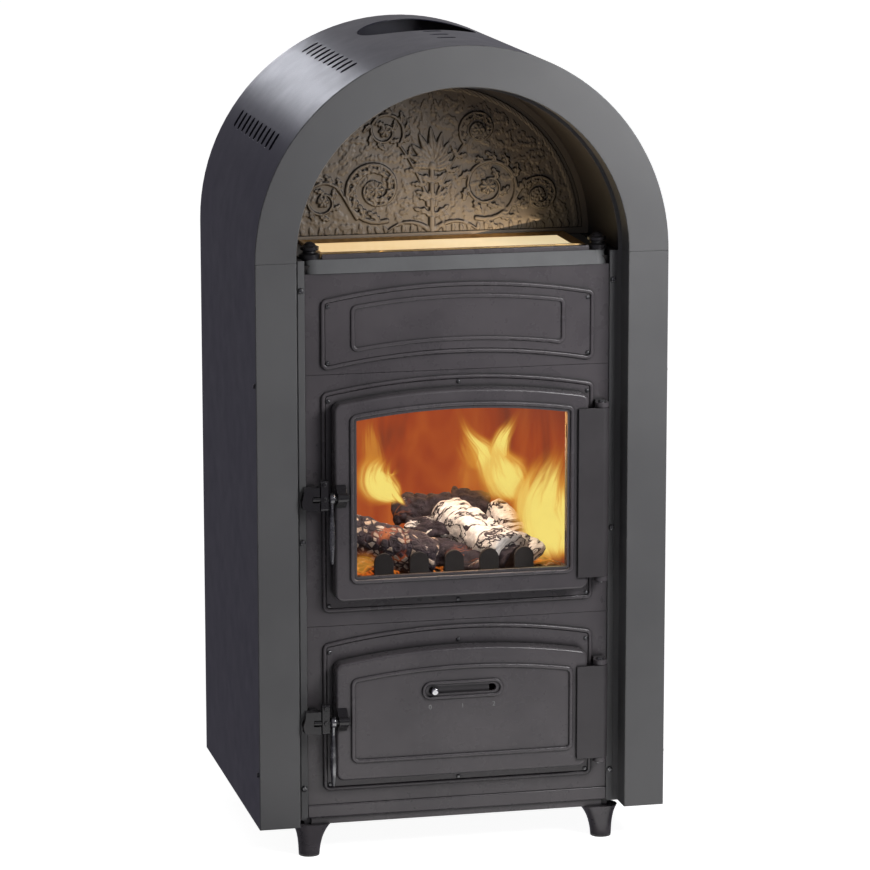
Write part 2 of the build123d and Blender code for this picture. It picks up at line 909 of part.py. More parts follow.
def door_casting(outline, bead_outline):
    """A door with rounded edges, a raised bead, a hollow back and a seal groove."""
    body = slab(outline, door_face, door_back)
    body = fillet(body.edges().group_by(Axis.Y)[0], door_edge_radius)
    body -= slab(offset(outline, -door_rim), door_face + door_wall, door_back)
    groove = ring(offset(outline, -seal_inset), seal_width)
    body -= slab(groove, door_back - seal_groove, door_back)
    return body + bead(bead_outline, door_bead_width, door_face, door_bead_height)


def rope_seal(outline):
    """The seal in the groove, just short of the seat that it presses on."""
    line = ring(offset(outline, -seal_inset - seal_side_gap), seal_width - seal_side_gap * 2)
    return slab(line, door_back - seal_groove, inset_face - seal_seat_gap)


def window():
    outline = door_bead(fire_door_z + door_bead_low, fire_door_z + fire_door_height - fire_bead_high)
    return offset(outline, -window_margin)


def clip_places():
    """Where the glass clips are screwed, beside the glass in the door's hollow."""
    x = door_half - door_bead_side - window_margin + glass_lap + clip_boss_radius + fit_gap
    heights = (fire_door_z + clip_low, fire_door_z + fire_door_height - clip_high_margin)
    return [(side * x, z) for side in (-1, 1) for z in heights]


def fire_door():
    bead_outline = door_bead(fire_door_z + door_bead_low, fire_door_z + fire_door_height - fire_bead_high)
    body = door_casting(fire_door_outline(), bead_outline)
    inner = door_face + door_wall
    body -= slab(window(), door_face - door_bead_height, inner)
    glass_back = inner + gasket_thick + glass_thick
    for x, z in clip_places():
        body += rod_y(x, z, clip_boss_radius, inner, glass_back)
        body -= rod_y(x, z, clip_screw_radius + screw_clearance, inner, glass_back)
    return body


def door_glass():
    near = door_face + door_wall + gasket_thick
    return slab(offset(window(), glass_lap), near, near + glass_thick)


def glass_gasket():
    near = door_face + door_wall
    return slab(ring(offset(window(), glass_lap), gasket_width), near, near + gasket_thick)


def glass_clips():
    near = door_face + door_wall + gasket_thick + glass_thick
    clips = []
    for x, z in clip_places():
        side = 1 if x > 0 else -1
        inner = x - side * (clip_boss_radius + clip_grip)
        outer = x + side * clip_boss_radius
        low, high = z - clip_width / 2, z + clip_width / 2
        clip = block(min(inner, outer), max(inner, outer), near, near + clip_thick, low, high)
        clips.append(clip - rod_y(x, z, clip_screw_radius + screw_clearance, near, near + clip_thick))
    return clips


def glass_clip_screws():
    inner = door_face + door_wall
    face = inner + gasket_thick + glass_thick + clip_thick
    screws = []
    for x, z in clip_places():
        head = rod_y(x, z, clip_screw_radius * 2, face, face + clip_screw_radius)
        screws.append(head + rod_y(x, z, clip_screw_radius, inner, face))
    return screws


def hinge_plate(low, height):
    """The plate on the door's face with its rolled barrel and two pin bores."""
    high = low + height
    near = door_face - hinge_plate_thick
    plate = block(hinge_plate_left, hinge_axis_x, near, door_face, low, high)
    plate = fillet(plate.edges().filter_by(Axis.Z).group_by(Axis.X)[0], hinge_plate_thick * 0.3)
    plate += rod_z(hinge_axis_x, hinge_depth, hinge_barrel_radius, low, high)
    bore = hinge_pin_radius + hinge_pin_clearance
    depth = hinge_pin_depth + hinge_pin_radius
    plate -= rod_z(hinge_axis_x, hinge_depth, bore, low, low + depth)
    return plate - rod_z(hinge_axis_x, hinge_depth, bore, high - depth, high)


def hinge_rows():
    """Low end and high end of each door's barrel."""
    fire_low = fire_door_z + fire_hinge_low
    ash_low = ash_door_z + ash_hinge_low
    return ((fire_low, fire_low + fire_hinge_height), (ash_low, ash_low + ash_hinge_height))


def hinge_lug(low):
    """A lug on the front plate that holds one pin."""
    high = low + hinge_lug_thick
    left = hinge_axis_x + hinge_lug_radius - hinge_lug_root
    lug = block(left, hinge_axis_x + hinge_lug_radius, hinge_depth, frame_recess, low, high)
    lug += rod_z(hinge_axis_x, hinge_depth, hinge_lug_radius, low, high)
    return lug - rod_z(hinge_axis_x, hinge_depth, hinge_pin_radius + hinge_pin_clearance, low, high)


def hinge_lugs():
    lugs = []
    for low, high in hinge_rows():
        lugs.append(hinge_lug(high + hinge_lug_gap))
        lugs.append(hinge_lug(low - hinge_lug_gap - hinge_lug_thick))
    return lugs


def hinge_pins():
    """Headed pins, down into the barrel's top and up into its foot."""
    reach = hinge_lug_gap + hinge_lug_thick
    pins = []
    for low, high in hinge_rows():
        top = high + reach
        pin = rod_z(hinge_axis_x, hinge_depth, hinge_pin_radius, high - hinge_pin_depth, top)
        head = rod_z(hinge_axis_x, hinge_depth, hinge_pin_head, top, top + hinge_pin_head_height)
        pins.append(pin + fillet(head.edges().group_by(Axis.Z)[-1], hinge_pin_head_height * 0.4))
        foot_end = low - reach
        pin = rod_z(hinge_axis_x, hinge_depth, hinge_pin_radius, foot_end, low + hinge_pin_depth)
        head_low = foot_end - hinge_pin_head_height
        head = rod_z(hinge_axis_x, hinge_depth, hinge_pin_head, head_low, foot_end)
        pins.append(pin + fillet(head.edges().group_by(Axis.Z)[0], hinge_pin_head_height * 0.4))
    return pins


def latch_bracket(z):
    """The bracket on the door's face with the bore that the spindle turns in."""
    right = -bracket_right
    left = right - bracket_width
    tall = bracket_height / 2
    y_face = front_y + door_face
    y_axis = front_y + latch_depth
    side = Plane(origin=(left, 0, 0), x_dir=(0, 1, 0), z_dir=(1, 0, 0))
    web = Polyline(
        (y_face, z - tall), (y_face, z + tall), (y_axis, z + bracket_boss_radius),
        (y_axis, z - bracket_boss_radius), close=True,
    )
    body = extrude(side * make_face(web.edges()), bracket_width)
    body += rod_x(latch_depth, z, bracket_boss_radius, left, right)
    return body - rod_x(latch_depth, z, spindle_radius + spindle_clearance, left, right)


def latch_hook(z):
    """The spindle with the flat hook that turns with the handle."""
    end = -bracket_right + spindle_cap_length
    body = rod_x(latch_depth, z, spindle_radius, -bracket_right - spindle_length, end)
    body += rod_x(latch_depth, z, spindle_cap_radius, -bracket_right + fit_gap, end)
    left, right = -hook_right - hook_width, -hook_right
    near = latch_depth - hook_thick / 2
    bar = block(left, right, near, near + hook_thick, z - hook_drop, z + hook_rise)
    bar = fillet(bar.edges().filter_by(Axis.X), hook_thick * 0.35)
    body += bar
    middle = (left + right) / 2
    for height in (0, hook_rise - hook_width * 0.5):
        rivet = rod_y(middle, z + height, hook_rivet_radius, near - hook_rivet_height, near)
        body += fillet(rivet.edges().group_by(Axis.Y)[0], hook_rivet_height * 0.6)
    return body


def handle(z):
    """The turned hanging handle with the eye that grips the spindle."""
    belly, neck, length = handle_belly, handle_neck, handle_length
    root = (neck * 1.3, -handle_eye_radius * 0.6)
    waist = (neck, -length * 0.2)
    end = (neck * 1.05, -length * 0.975)
    side = ThreePointArc(waist, (belly, -length * 0.59), end)
    inner = Polyline((0, -length), (0, root[1]), root, waist)
    outline = [side.edge(), dome(end, -length)] + inner.edges()
    grip = revolve(Plane.XZ * make_face(outline), Axis.Z)
    grip = Pos(-handle_x, front_y + latch_depth, z) * grip
    half = handle_eye_width / 2
    eye = rod_x(latch_depth, z, handle_eye_radius, -handle_x - half, half - handle_x)
    eye = fillet(eye.edges(), handle_eye_width * 0.3)
    bore = rod_x(latch_depth, z, spindle_radius, -handle_x - half, half - handle_x)
    return eye + grip - bore


def keeper(z):
    """The ear on the front plate with a notch, open to the front, for the spindle."""
    tall = keeper_height / 2
    left, right = -keeper_left, -keeper_right
    top_left = (left + keeper_height * 0.12, z + tall)
    shoulder = (left + keeper_height * 0.1, z + tall * 0.5)
    widest = (left, z - tall * 0.2)
    low_left = (left + keeper_height * 0.06, z - tall * 0.8)
    outline = make_face(
        Polyline(
            (right, z + tall), top_left, shoulder, widest, low_left, (right, z - tall), close=True
        ).edges()
    )
    near = latch_depth - spindle_radius
    ear = slab(outline, near, near + keeper_thick)
    half = keeper_stem_height / 2
    ear += block(right - keeper_stem_width, right, near, frame_recess, z - half, z + half)
    gap = keeper_notch_gap
    end = -bracket_right - spindle_length - gap
    reach = spindle_radius + gap
    return ear - block(end, right, near - gap, latch_depth + reach, z - reach, z + reach)


def slide_outline(length, height):
    return Pos(0, slide_z) * SlotOverall(length, height)


def ash_door():
    bead_outline = door_bead(ash_door_z + door_bead_low, ash_door_z + ash_door_height - ash_bead_high)
    body = door_casting(ash_door_outline(), bead_outline)
    rim = slide_outline(slide_bead_length, slide_bead_height)
    body += bead(rim, slide_bead_width, door_face, door_bead_height)
    inner = door_face + door_wall
    body -= slab(slide_outline(slide_slot_length, slide_slot_height), door_face, inner)
    z = slide_z
    reach = shutter_height / 2 + shutter_gap
    left = -slide_slot_length / 2 - shutter_left
    right = slide_slot_length / 2 - shutter_air_gap + slide_travel + shutter_gap
    back = inner + shutter_thick + shutter_gap * 2
    for side in (-1, 1):
        edge, out = z + side * reach, z + side * (reach + guide_wall)
        lip = z + side * (reach - guide_lip)
        body += block(left, right, inner, back + guide_wall, min(edge, out), max(edge, out))
        body += block(left, right, back, back + guide_wall, min(lip, out), max(lip, out))
    return body


def air_shutter():
    """The sliding plate behind the slot, which leaves a little air at its right end."""
    near = door_face + door_wall + shutter_gap
    z = slide_z
    left = -slide_slot_length / 2 - shutter_left
    right = slide_slot_length / 2 - shutter_air_gap
    half = shutter_height / 2
    plate = block(left, right, near, near + shutter_thick, z - half, z + half)
    return plate - rod_y(-slide_knob_start, z, air_stem_radius, near, near + shutter_thick)


def air_knob():
    z = slide_z
    x = -slide_knob_start
    face = door_face - fit_gap
    head = rod_y(x, z, air_knob_radius, face - air_knob_length, face)
    head = fillet(head.edges().group_by(Axis.Y)[0], air_knob_radius * 0.4)
    back = door_face + door_wall + shutter_gap + shutter_thick
    return head + rod_y(x, z, air_stem_radius, face, back)


def ash_pan():
    """An open sheet pan that stands on the ash floor."""
    low = ash_floor_z + pan_floor_gap
    high = low + pan_height
    half = pan_width / 2
    outer = block(-half, half, pan_front, pan_back, low, high)
    s = pan_sheet
    return outer - block(s - half, half - s, pan_front + s, pan_back - s, low + s, high)


def pan_grip():
    """A bent bar on the front of the ash pan."""
    z = ash_floor_z + pan_floor_gap + pan_height * 0.6
    half = pan_grip_width / 2
    near = pan_front - pan_grip_reach
    r = pan_grip_radius
    bar = rod_x(near, z, r, -half - r, half + r)
    for side in (-1, 1):
        bar += rod_y(side * half, z, r, near, pan_front)
    return bar


def write(name, solid):
    """Write one node, a single solid or a group of like solids."""
    shape = Compound(children=list(solid)) if isinstance(solid, list) else solid
    export_step(shape, f"parts/{name}.step")


def main():
    arch_part, leg_left, leg_right = frame_parts(front_frame())
    right_wall = side_wall()
    fire_latch_z = fire_door_z + fire_latch_height
    ash_latch_z = ash_door_z + ash_latch_height
    nodes = {
        "casing_wrap": casing_wrap(),
        "rear_panel": rear_panel(),
        "front_arch": arch_part,
        "front_leg_left": leg_left,
        "front_leg_right": leg_right,
        "casing_screws": casing_screws(),
        "retaining_strips": retaining_strips(),
        "strip_screws": strip_screws(),
        "rear_spacers": rear_spacers(),
        "wall_right": right_wall,
        "wall_left": mirror(right_wall, Plane.YZ),
        "wall_back": back_wall(),
        "ash_floor": chamber_plate(ash_floor_z, floor_thick),
        "chamber_deck": chamber_deck(),
        "grate": grate(),
        "side_firebricks": side_bricks(),
        "rear_firebrick": rear_brick(),
        "baffle": baffle(),
        "log_guard": log_guard(),
        "upper_front_plate": front_plate(upper_z, cap_z, upper_bead(), upper_places()),
        "fire_front_plate": front_plate(fire_z, upper_z, fire_bead(), fire_places(), fire_mouth()),
        "ash_front_plate": front_plate(plinth_z, fire_z, ash_bead(), ash_places(), ash_mouth()),
        "upper_inset": upper_inset(),
        "fire_door_surround": inset(fire_bead(), fire_places(), fire_mouth()),
        "ash_door_surround": inset(ash_bead(), ash_places(), ash_mouth()),
        "panel_screws": panel_screws(),
        "plinth": plinth(),
        "feet": feet(),
        "top_plate": top_plate(),
        "flue_collar": flue_collar(),
        "niche_liner": niche_liner(),
        "relief_plate": relief_plate(),
        "warming_frame": warming_frame(),
        "warming_glass": warming_glass(),
        "front_rail": front_rail(),
        "corner_knobs": corner_knobs(),
        "hinge_lugs": hinge_lugs(),
        "hinge_pins": hinge_pins(),
        "latch_keepers": [keeper(fire_latch_z), keeper(ash_latch_z)],
        "fire_door": fire_door(),
        "door_glass": door_glass(),
        "glass_gasket": glass_gasket(),
        "glass_clips": glass_clips(),
        "glass_clip_screws": glass_clip_screws(),
        "fire_door_seal": rope_seal(fire_door_outline()),
        "fire_hinge_plate": hinge_plate(fire_door_z + fire_hinge_low, fire_hinge_height),
        "fire_latch_bracket": latch_bracket(fire_latch_z),
        "fire_latch_hook": latch_hook(fire_latch_z),
        "fire_handle": handle(fire_latch_z),
        "ash_door": ash_door(),
        "ash_door_seal": rope_seal(ash_door_outline()),
        "ash_hinge_plate": hinge_plate(ash_door_z + ash_hinge_low, ash_hinge_height),
        "ash_latch_bracket": latch_bracket(ash_latch_z),
        "ash_latch_hook": latch_hook(ash_latch_z),
        "ash_handle": handle(ash_latch_z),
        "air_shutter": air_shutter(),
        "air_knob": air_knob(),
        "ash_pan": ash_pan(),
        "pan_grip": pan_grip(),
    }
    for name, solid in nodes.items():
        write(name, solid)


main()
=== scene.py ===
import json
import math
import random

import bpy
import numpy as np
from mathutils import Matrix, Vector, noise


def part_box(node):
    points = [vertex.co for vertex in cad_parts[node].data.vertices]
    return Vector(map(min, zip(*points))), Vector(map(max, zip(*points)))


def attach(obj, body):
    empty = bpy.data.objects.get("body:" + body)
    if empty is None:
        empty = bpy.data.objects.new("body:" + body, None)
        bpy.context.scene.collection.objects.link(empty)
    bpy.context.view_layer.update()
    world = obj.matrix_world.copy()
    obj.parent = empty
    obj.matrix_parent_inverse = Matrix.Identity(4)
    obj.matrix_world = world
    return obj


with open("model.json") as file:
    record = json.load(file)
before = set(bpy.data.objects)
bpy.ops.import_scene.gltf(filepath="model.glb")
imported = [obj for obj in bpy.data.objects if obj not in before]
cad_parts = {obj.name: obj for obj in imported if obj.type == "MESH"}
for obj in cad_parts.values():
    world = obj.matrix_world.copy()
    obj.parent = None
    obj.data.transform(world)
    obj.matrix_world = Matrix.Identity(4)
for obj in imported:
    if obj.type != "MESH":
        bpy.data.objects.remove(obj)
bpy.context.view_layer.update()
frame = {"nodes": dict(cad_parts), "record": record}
nodes = frame["nodes"]

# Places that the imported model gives, in metres
MM = 0.001
arch_low, arch_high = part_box("front_arch")
front = arch_low.y
spring = arch_high.z - (arch_high.x - arch_low.x) / 2
niche_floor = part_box("top_plate")[1].z
grate_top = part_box("grate")[1].z
brick_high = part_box("rear_firebrick")[1]
side_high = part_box("side_firebricks")[1]
relief_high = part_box("relief_plate")[1]
door_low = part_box("ash_door")[0]


def spot(x, depth, z):
    """A point from millimetres: across, behind the front frame's face, and above the floor."""
    return Vector((x * MM, front + depth * MM, z * MM))


def add_object(name, data):
    """A new object in the scene."""
    obj = bpy.data.objects.new(name, data)
    bpy.context.scene.collection.objects.link(obj)
    return obj


def piece(name, verts, faces, finish):
    """A smooth mesh piece of the stove's body, with one finish."""
    mesh = bpy.data.meshes.new(name)
    mesh.from_pydata([tuple(v) for v in verts], [], faces)
    mesh.validate()
    mesh.shade_smooth()
    mesh.materials.append(finish.material)
    obj = add_object(name, mesh)
    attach(obj, "stove")
    return obj


def grid_faces(rows, columns):
    """The squares between rows of points."""
    corners = [j * columns + i for j in range(rows - 1) for i in range(columns - 1)]
    return [(a, a + 1, a + columns + 1, a + columns) for a in corners]


def grid_rim(rows, columns):
    """The points round the edge of a grid, in order."""
    low = list(range(columns))
    right = [j * columns + columns - 1 for j in range(1, rows)]
    high = [(rows - 1) * columns + i for i in range(columns - 2, -1, -1)]
    left = [j * columns for j in range(rows - 2, 0, -1)]
    return low + right + high + left


class Value:
    """A number that changes over a surface. Arithmetic on it adds Math nodes."""

    def __init__(self, nodes, socket):
        self.nodes = nodes
        self.socket = socket

    def math(self, operation, first, second):
        return self.nodes.node("ShaderNodeMath", {"operation": operation}, {0: first, 1: second})

    def __add__(self, other):
        return self.math("ADD", self, other)

    def __sub__(self, other):
        return self.math("SUBTRACT", self, other)

    def __rsub__(self, other):
        return self.math("SUBTRACT", other, self)

    def __mul__(self, other):
        return self.math("MULTIPLY", self, other)

    def __truediv__(self, other):
        return self.math("DIVIDE", self, other)

    def __pow__(self, other):
        return self.math("POWER", self, other)

    __radd__ = __add__
    __rmul__ = __mul__

    def most(self, other):
        return self.math("MAXIMUM", self, other)

    def step(self, low, high):
        """0 up to low, 1 from high on, and a smooth rise between them."""
        settings = {"interpolation_type": "SMOOTHSTEP"}
        inputs = {"Value": self, "From Min": low, "From Max": high}
        return self.nodes.node("ShaderNodeMapRange", settings, inputs)


class Nodes:
    """A node tree, with one method that adds a node of any kind."""

    def __init__(self, tree):
        self.tree = tree

    def feed(self, socket, value):
        """Link a value to a socket, or set a plain number or colour on it."""
        if isinstance(value, Value):
            self.tree.links.new(value.socket, socket)
        elif isinstance(value, tuple) and len(value) == 3 and socket.type == "RGBA":
            socket.default_value = (*value, 1.0)
        else:
            socket.default_value = value

    def node(self, kind, settings=None, inputs=None, output=0):
        """A node with its settings made first, then the values or links of its inputs."""
        node = self.tree.nodes.new(kind)
        for name, value in (settings or {}).items():
            if name == "stops":
                while len(node.color_ramp.elements) < len(value):
                    node.color_ramp.elements.new(1.0)
                for element, (position, color) in zip(node.color_ramp.elements, value):
                    element.position = position
                    element.color = (*color, 1.0)
            else:
                setattr(node, name, value)
        for name, value in (inputs or {}).items():
            self.feed(node.inputs[name], value)
        return Value(self, node.outputs[output])

    def white_when_seen(self, others, seen):
        """One value for light that falls on things, and another for what is looked at."""
        first = self.node("ShaderNodeLightPath", output="Is Camera Ray")
        glossy, through = (Value(self, first.socket.node.outputs[name])
                           for name in ("Is Glossy Ray", "Is Transmission Ray"))
        return first.most(glossy).most(through) * (seen - others) + others


class Finish(Nodes):
    """A material with one principled surface, and the nodes that feed it."""

    def __init__(self, name, color, roughness, **constants):
        self.material = bpy.data.materials.new(name)
        self.material.use_nodes = True
        super().__init__(self.material.node_tree)
        self.surface = self.tree.nodes["Principled BSDF"]
        self.set("Base Color", color)
        self.set("Roughness", roughness)
        for name, value in constants.items():
            self.set(name.replace("_", " "), value)
        self.place = self.node("ShaderNodeTexCoord", output="Object")

    def set(self, name, value):
        """Give a socket of the surface its value."""
        self.feed(self.surface.inputs[name], value)

    def mix(self, share, first, second):
        """A colour between two others."""
        return self.node("ShaderNodeMix", {"data_type": "RGBA"}, {0: share, 6: first, 7: second}, 2)

    def ramp(self, share, stops):
        """A colour from a row of stops."""
        return self.node("ShaderNodeValToRGB", {"stops": stops}, {"Fac": share})

    def stretch(self, x, y, z, place=None):
        """The place multiplied along each axis, so that a pattern on it is drawn out."""
        inputs = {0: place or self.place, 1: (x, y, z)}
        return self.node("ShaderNodeVectorMath", {"operation": "MULTIPLY"}, inputs)

    def turned(self, angle):
        """The place turned in the plane of the stove's front by an angle in degrees."""
        inputs = {"Vector": self.place, "Rotation": (0.0, math.radians(angle), 0.0)}
        return self.node("ShaderNodeMapping", None, inputs)

    def axis(self, name, place=None):
        return self.node("ShaderNodeSeparateXYZ", None, {0: place or self.place}, name)

    def noise(self, scale, detail=2.0, rough=0.5, place=None, twist=0.0):
        inputs = {
            "Vector": place or self.place,
            "Scale": scale,
            "Detail": detail,
            "Roughness": rough,
            "Distortion": twist,
        }
        return self.node("ShaderNodeTexNoise", None, inputs)

    def cells(self, scale, feature="DISTANCE_TO_EDGE", place=None, output=0):
        """A number from a pattern of cells: the distance to a cell's edge, unless asked otherwise."""
        inputs = {"Vector": place or self.place, "Scale": scale}
        return self.node("ShaderNodeTexVoronoi", {"feature": feature}, inputs, output)

    def relief(self, height, depth, strength=1.0, rounding=0.0):
        """A bump of a real depth, over edges softened by a real radius."""
        inputs = {"Height": height, "Distance": depth, "Strength": strength}
        if rounding:
            inputs["Normal"] = self.node("ShaderNodeBevel", {"samples": 4}, {"Radius": rounding})
        self.set("Normal", self.node("ShaderNodeBump", None, inputs))


def painted_steel(name, dark, light, roughness, grain, blotch=5.0, spread=0.08):
    """Stove paint on sheet steel: faint clouds of tone, fine spray texture, soft edges."""
    f = Finish(name, dark, roughness)
    clouds = f.noise(blotch, 3.0, 0.55)
    f.set("Base Color", f.mix(clouds.step(0.3, 0.7), dark, light))
    f.set("Roughness", roughness - spread / 2 + f.noise(blotch * 3, 3.0) * spread)
    spray = f.noise(1400.0, 2.0, 0.6) * 0.6 + f.noise(420.0, 2.0) * 0.4
    f.relief(spray, grain, 0.5, 0.0008)
    return f


def cast_iron(name, dark, light, roughness, grain, rounding=0.0007, polish=0.12):
    """A painted casting: sandy skin, rubbed tone, and painted shade darkening the creases where two faces
    meet, which are also made matt.
    """
    crease_reach = 0.008
    f = Finish(name, dark, roughness)
    clouds = f.noise(9.0, 4.0, 0.6)
    specks = f.noise(900.0, 2.0, 0.7)
    tone = clouds.step(0.32, 0.68) * 0.7 + specks.step(0.5, 0.78) * 0.3
    # Painted shade: ambient occlusion darkens the base colour toward black in creases and hollows, and makes
    # them matt.
    openness = f.node("ShaderNodeAmbientOcclusion", {"samples": 6}, {"Distance": crease_reach}, "AO")
    unshaded_share = openness.step(0.5, 0.96)
    black = tuple(part * 0.1 for part in dark)
    f.set("Base Color", f.mix(unshaded_share, black, f.mix(tone, dark, light)))
    f.set("Roughness", roughness + 0.3 - polish / 2 - unshaded_share * 0.3 + f.noise(26.0, 4.0, 0.6) * polish)
    sand = f.noise(620.0, 3.0, 0.65) * 0.7 + f.noise(1700.0, 1.0) * 0.3
    f.relief(sand, grain, 0.7, rounding)
    return f


def frame_paint():
    return painted_steel("frame paint", (0.098, 0.098, 0.101), (0.118, 0.118, 0.121), 0.46, 0.00012)


def casing_paint():
    dark, light = (0.017, 0.017, 0.036), (0.03, 0.03, 0.046)
    return painted_steel("casing paint", dark, light, 0.36, 0.00014, 9.0, 0.12)


def niche_paint():
    return painted_steel("niche paint", (0.014, 0.012, 0.013), (0.022, 0.019, 0.02), 0.5, 0.00012)


def cast_black():
    return cast_iron("cast front", (0.07, 0.063, 0.069), (0.1, 0.09, 0.097), 0.28, 0.00022, 0.0003)


def gloss_black():
    """Latch irons and turned knobs in black enamel."""
    dark, light = (0.012, 0.011, 0.012), (0.024, 0.022, 0.024)
    return cast_iron("black enamel", dark, light, 0.24, 0.00015, 0.0005, 0.08)


# Painted light: a lighter copy of the cast iron for the top plate, standing in for the light its
# upward-facing front band catches.
def lit_top_iron():
    return cast_iron("cast top", (0.112, 0.114, 0.118), (0.152, 0.155, 0.159), 0.42, 0.0003)


# Painted shade: a darker, rougher copy of the cast iron, so that the flat hinge plates read darker than the
# light on them makes them.
def shaded_hinge_iron():
    return cast_iron("hinge casting", (0.04, 0.036, 0.039), (0.056, 0.051, 0.055), 0.42, 0.00025)


def chamber_iron():
    return cast_iron("sooty casting", (0.018, 0.015, 0.015), (0.04, 0.033, 0.031), 0.8, 0.0006)


def blackened_steel():
    """Round-headed screws and pins, blackened, with a worn shine on top."""
    f = Finish("blackened screws", (0.05, 0.05, 0.052), 0.3, Metallic=0.85)
    wear = f.noise(350.0, 3.0, 0.6).step(0.4, 0.75)
    f.set("Base Color", f.mix(wear, (0.06, 0.06, 0.062), (0.3, 0.3, 0.305)))
    f.set("Roughness", 0.24 + f.noise(600.0, 2.0) * 0.22)
    f.relief(f.noise(1500.0, 2.0), 0.0001, 0.4, 0.0004)
    return f


def bright_steel():
    f = Finish("bright steel", (0.42, 0.42, 0.43), 0.3, Metallic=1.0)
    lines = f.noise(300.0, 3.0, 0.6, f.stretch(1.0, 1.0, 9.0))
    f.set("Base Color", f.mix(lines, (0.3, 0.3, 0.31), (0.55, 0.55, 0.56)))
    f.set("Roughness", 0.22 + lines * 0.2)
    f.relief(lines, 0.0001, 0.3, 0.0003)
    return f


def latch_steel():
    """Burnished dark steel, handled until it shines."""
    f = Finish("burnished steel", (0.16, 0.16, 0.165), 0.25, Metallic=0.92)
    rubbed = f.noise(60.0, 4.0, 0.6).step(0.35, 0.7)
    f.set("Base Color", f.mix(rubbed, (0.07, 0.07, 0.073), (0.24, 0.24, 0.245)))
    f.set("Roughness", 0.34 - rubbed * 0.14 + f.noise(700.0, 2.0) * 0.06)
    f.relief(f.noise(900.0, 2.0, 0.6), 0.00012, 0.4, 0.0006)
    return f


def polished_knob():
    f = Finish("polished knob", (0.6, 0.6, 0.61), 0.14, Metallic=1.0)
    f.set("Roughness", 0.1 + f.noise(500.0, 3.0, 0.6) * 0.12)
    f.relief(f.noise(1200.0, 2.0), 0.00005, 0.3, 0.0003)
    return f


def brass_frame():
    f = Finish("satin brass", (0.72, 0.46, 0.2), 0.3, Metallic=1.0)
    lines = f.noise(180.0, 3.0, 0.6, f.stretch(0.1, 1.0, 1.0))
    tarnish = f.noise(24.0, 4.0, 0.6).step(0.45, 0.8)
    warm = f.mix(lines, (0.66, 0.42, 0.18), (0.8, 0.55, 0.26))
    f.set("Base Color", f.mix(tarnish * 0.5, warm, (0.4, 0.24, 0.1)))
    f.set("Roughness", 0.24 + lines * 0.16)
    f.relief(lines, 0.00006, 0.3, 0.0005)
    return f


def warming_glass():
    """Ceramic glass with a painted glow that stands in for the light of the fire below it, brightest at its
    right end.
    """
    f = Finish("glowing glass", (0.85, 0.7, 0.45), 0.12, Coat_Weight=0.4, Emission_Strength=0.85)
    # Painted light: the emission colour is a glow standing in for firelight, made stronger toward the right
    # end.
    along = f.axis("X")
    bright = (along * 2.6 + 0.5).step(0.0, 1.0)
    cloud = f.noise(14.0, 3.0, 0.5)
    glow = f.mix(bright * 0.6 + cloud * 0.4, (0.95, 0.62, 0.26), (1.0, 0.86, 0.55))
    f.set("Emission Color", glow)
    f.relief(f.noise(160.0, 2.0), 0.0001, 0.2)
    return f


def window_glass():
    """Clear glass with faint clouds of soot."""
    f = Finish("window glass", (0.02, 0.017, 0.015), 0.04, Specular_IOR_Level=0.35)
    cloud = f.noise(12.0, 3.0, 0.6)
    f.set("Alpha", 0.05 + cloud.step(0.45, 0.8) * 0.05)
    f.relief(f.noise(30.0, 2.0), 0.0002, 0.1)
    return f


def rope_seal():
    """Braided glass-fibre rope."""
    f = Finish("glass fibre rope", (0.09, 0.088, 0.085), 0.9)
    braid = f.noise(500.0, 2.0, 0.5, f.turned(38)) + f.noise(500.0, 2.0, 0.5, f.turned(-38))
    f.set("Base Color", f.mix((braid / 2).step(0.35, 0.65), (0.05, 0.048, 0.046), (0.16, 0.155, 0.15)))
    f.relief(braid, 0.0008, 0.9)
    return f


def firebrick():
    """Vermiculite board with flakes and patches of soot."""
    f = Finish("firebrick", (0.4, 0.34, 0.27), 0.9)
    flakes = f.cells(260.0, "F1")
    soot = f.noise(9.0, 4.0, 0.6).step(0.35, 0.65)
    board = f.mix(flakes, (0.5, 0.43, 0.33), (0.3, 0.26, 0.21))
    f.set("Base Color", f.mix(soot * 0.85, board, (0.03, 0.026, 0.024)))
    f.relief(flakes * 0.5 + f.noise(300.0, 3.0) * 0.5, 0.0006, 0.8, 0.001)
    return f


def pan_sheet():
    f = Finish("pan sheet", (0.2, 0.2, 0.21), 0.45, Metallic=0.9)
    scuffs = f.noise(90.0, 4.0, 0.65, f.stretch(1.0, 6.0, 1.0))
    f.set("Base Color", f.mix(scuffs, (0.13, 0.125, 0.12), (0.27, 0.27, 0.28)))
    f.set("Roughness", 0.36 + scuffs * 0.25)
    f.relief(scuffs, 0.0002, 0.4, 0.0006)
    return f


def relief_iron():
    """A brown casting with painted shade on the steep sides of its forms, which darken where the surface
    turns away from the front.
    """
    f = Finish("cast relief", (0.12, 0.098, 0.078), 0.55)
    facing = f.node("ShaderNodeNewGeometry", output="Normal")
    # Painted shade: the colour runs dark as the surface turns away from facing the front, so steep sides
    # read as shaded.
    flat = (f.axis("Y", facing) * -1).step(0.62, 0.96)
    cloud = f.noise(16.0, 4.0, 0.6)
    tone = flat * 0.84 + cloud * 0.16
    brown = f.ramp(tone, [(0.1, (0.008, 0.006, 0.005)), (0.45, (0.034, 0.028, 0.023)),
                          (0.75, (0.085, 0.071, 0.058)), (1.0, (0.11, 0.093, 0.077))])
    f.set("Base Color", brown)
    f.set("Roughness", 0.64 - flat * 0.14)
    f.relief(f.noise(700.0, 3.0, 0.6), 0.0003, 0.6, 0.0004)
    return f


def mark_paint():
    f = Finish("scale marks", (0.2, 0.2, 0.2), 0.5)
    f.set("Base Color", f.mix(f.noise(800.0, 2.0), (0.3, 0.3, 0.3), (0.44, 0.44, 0.44)))
    f.relief(f.noise(1500.0), 0.0001, 0.3)
    return f


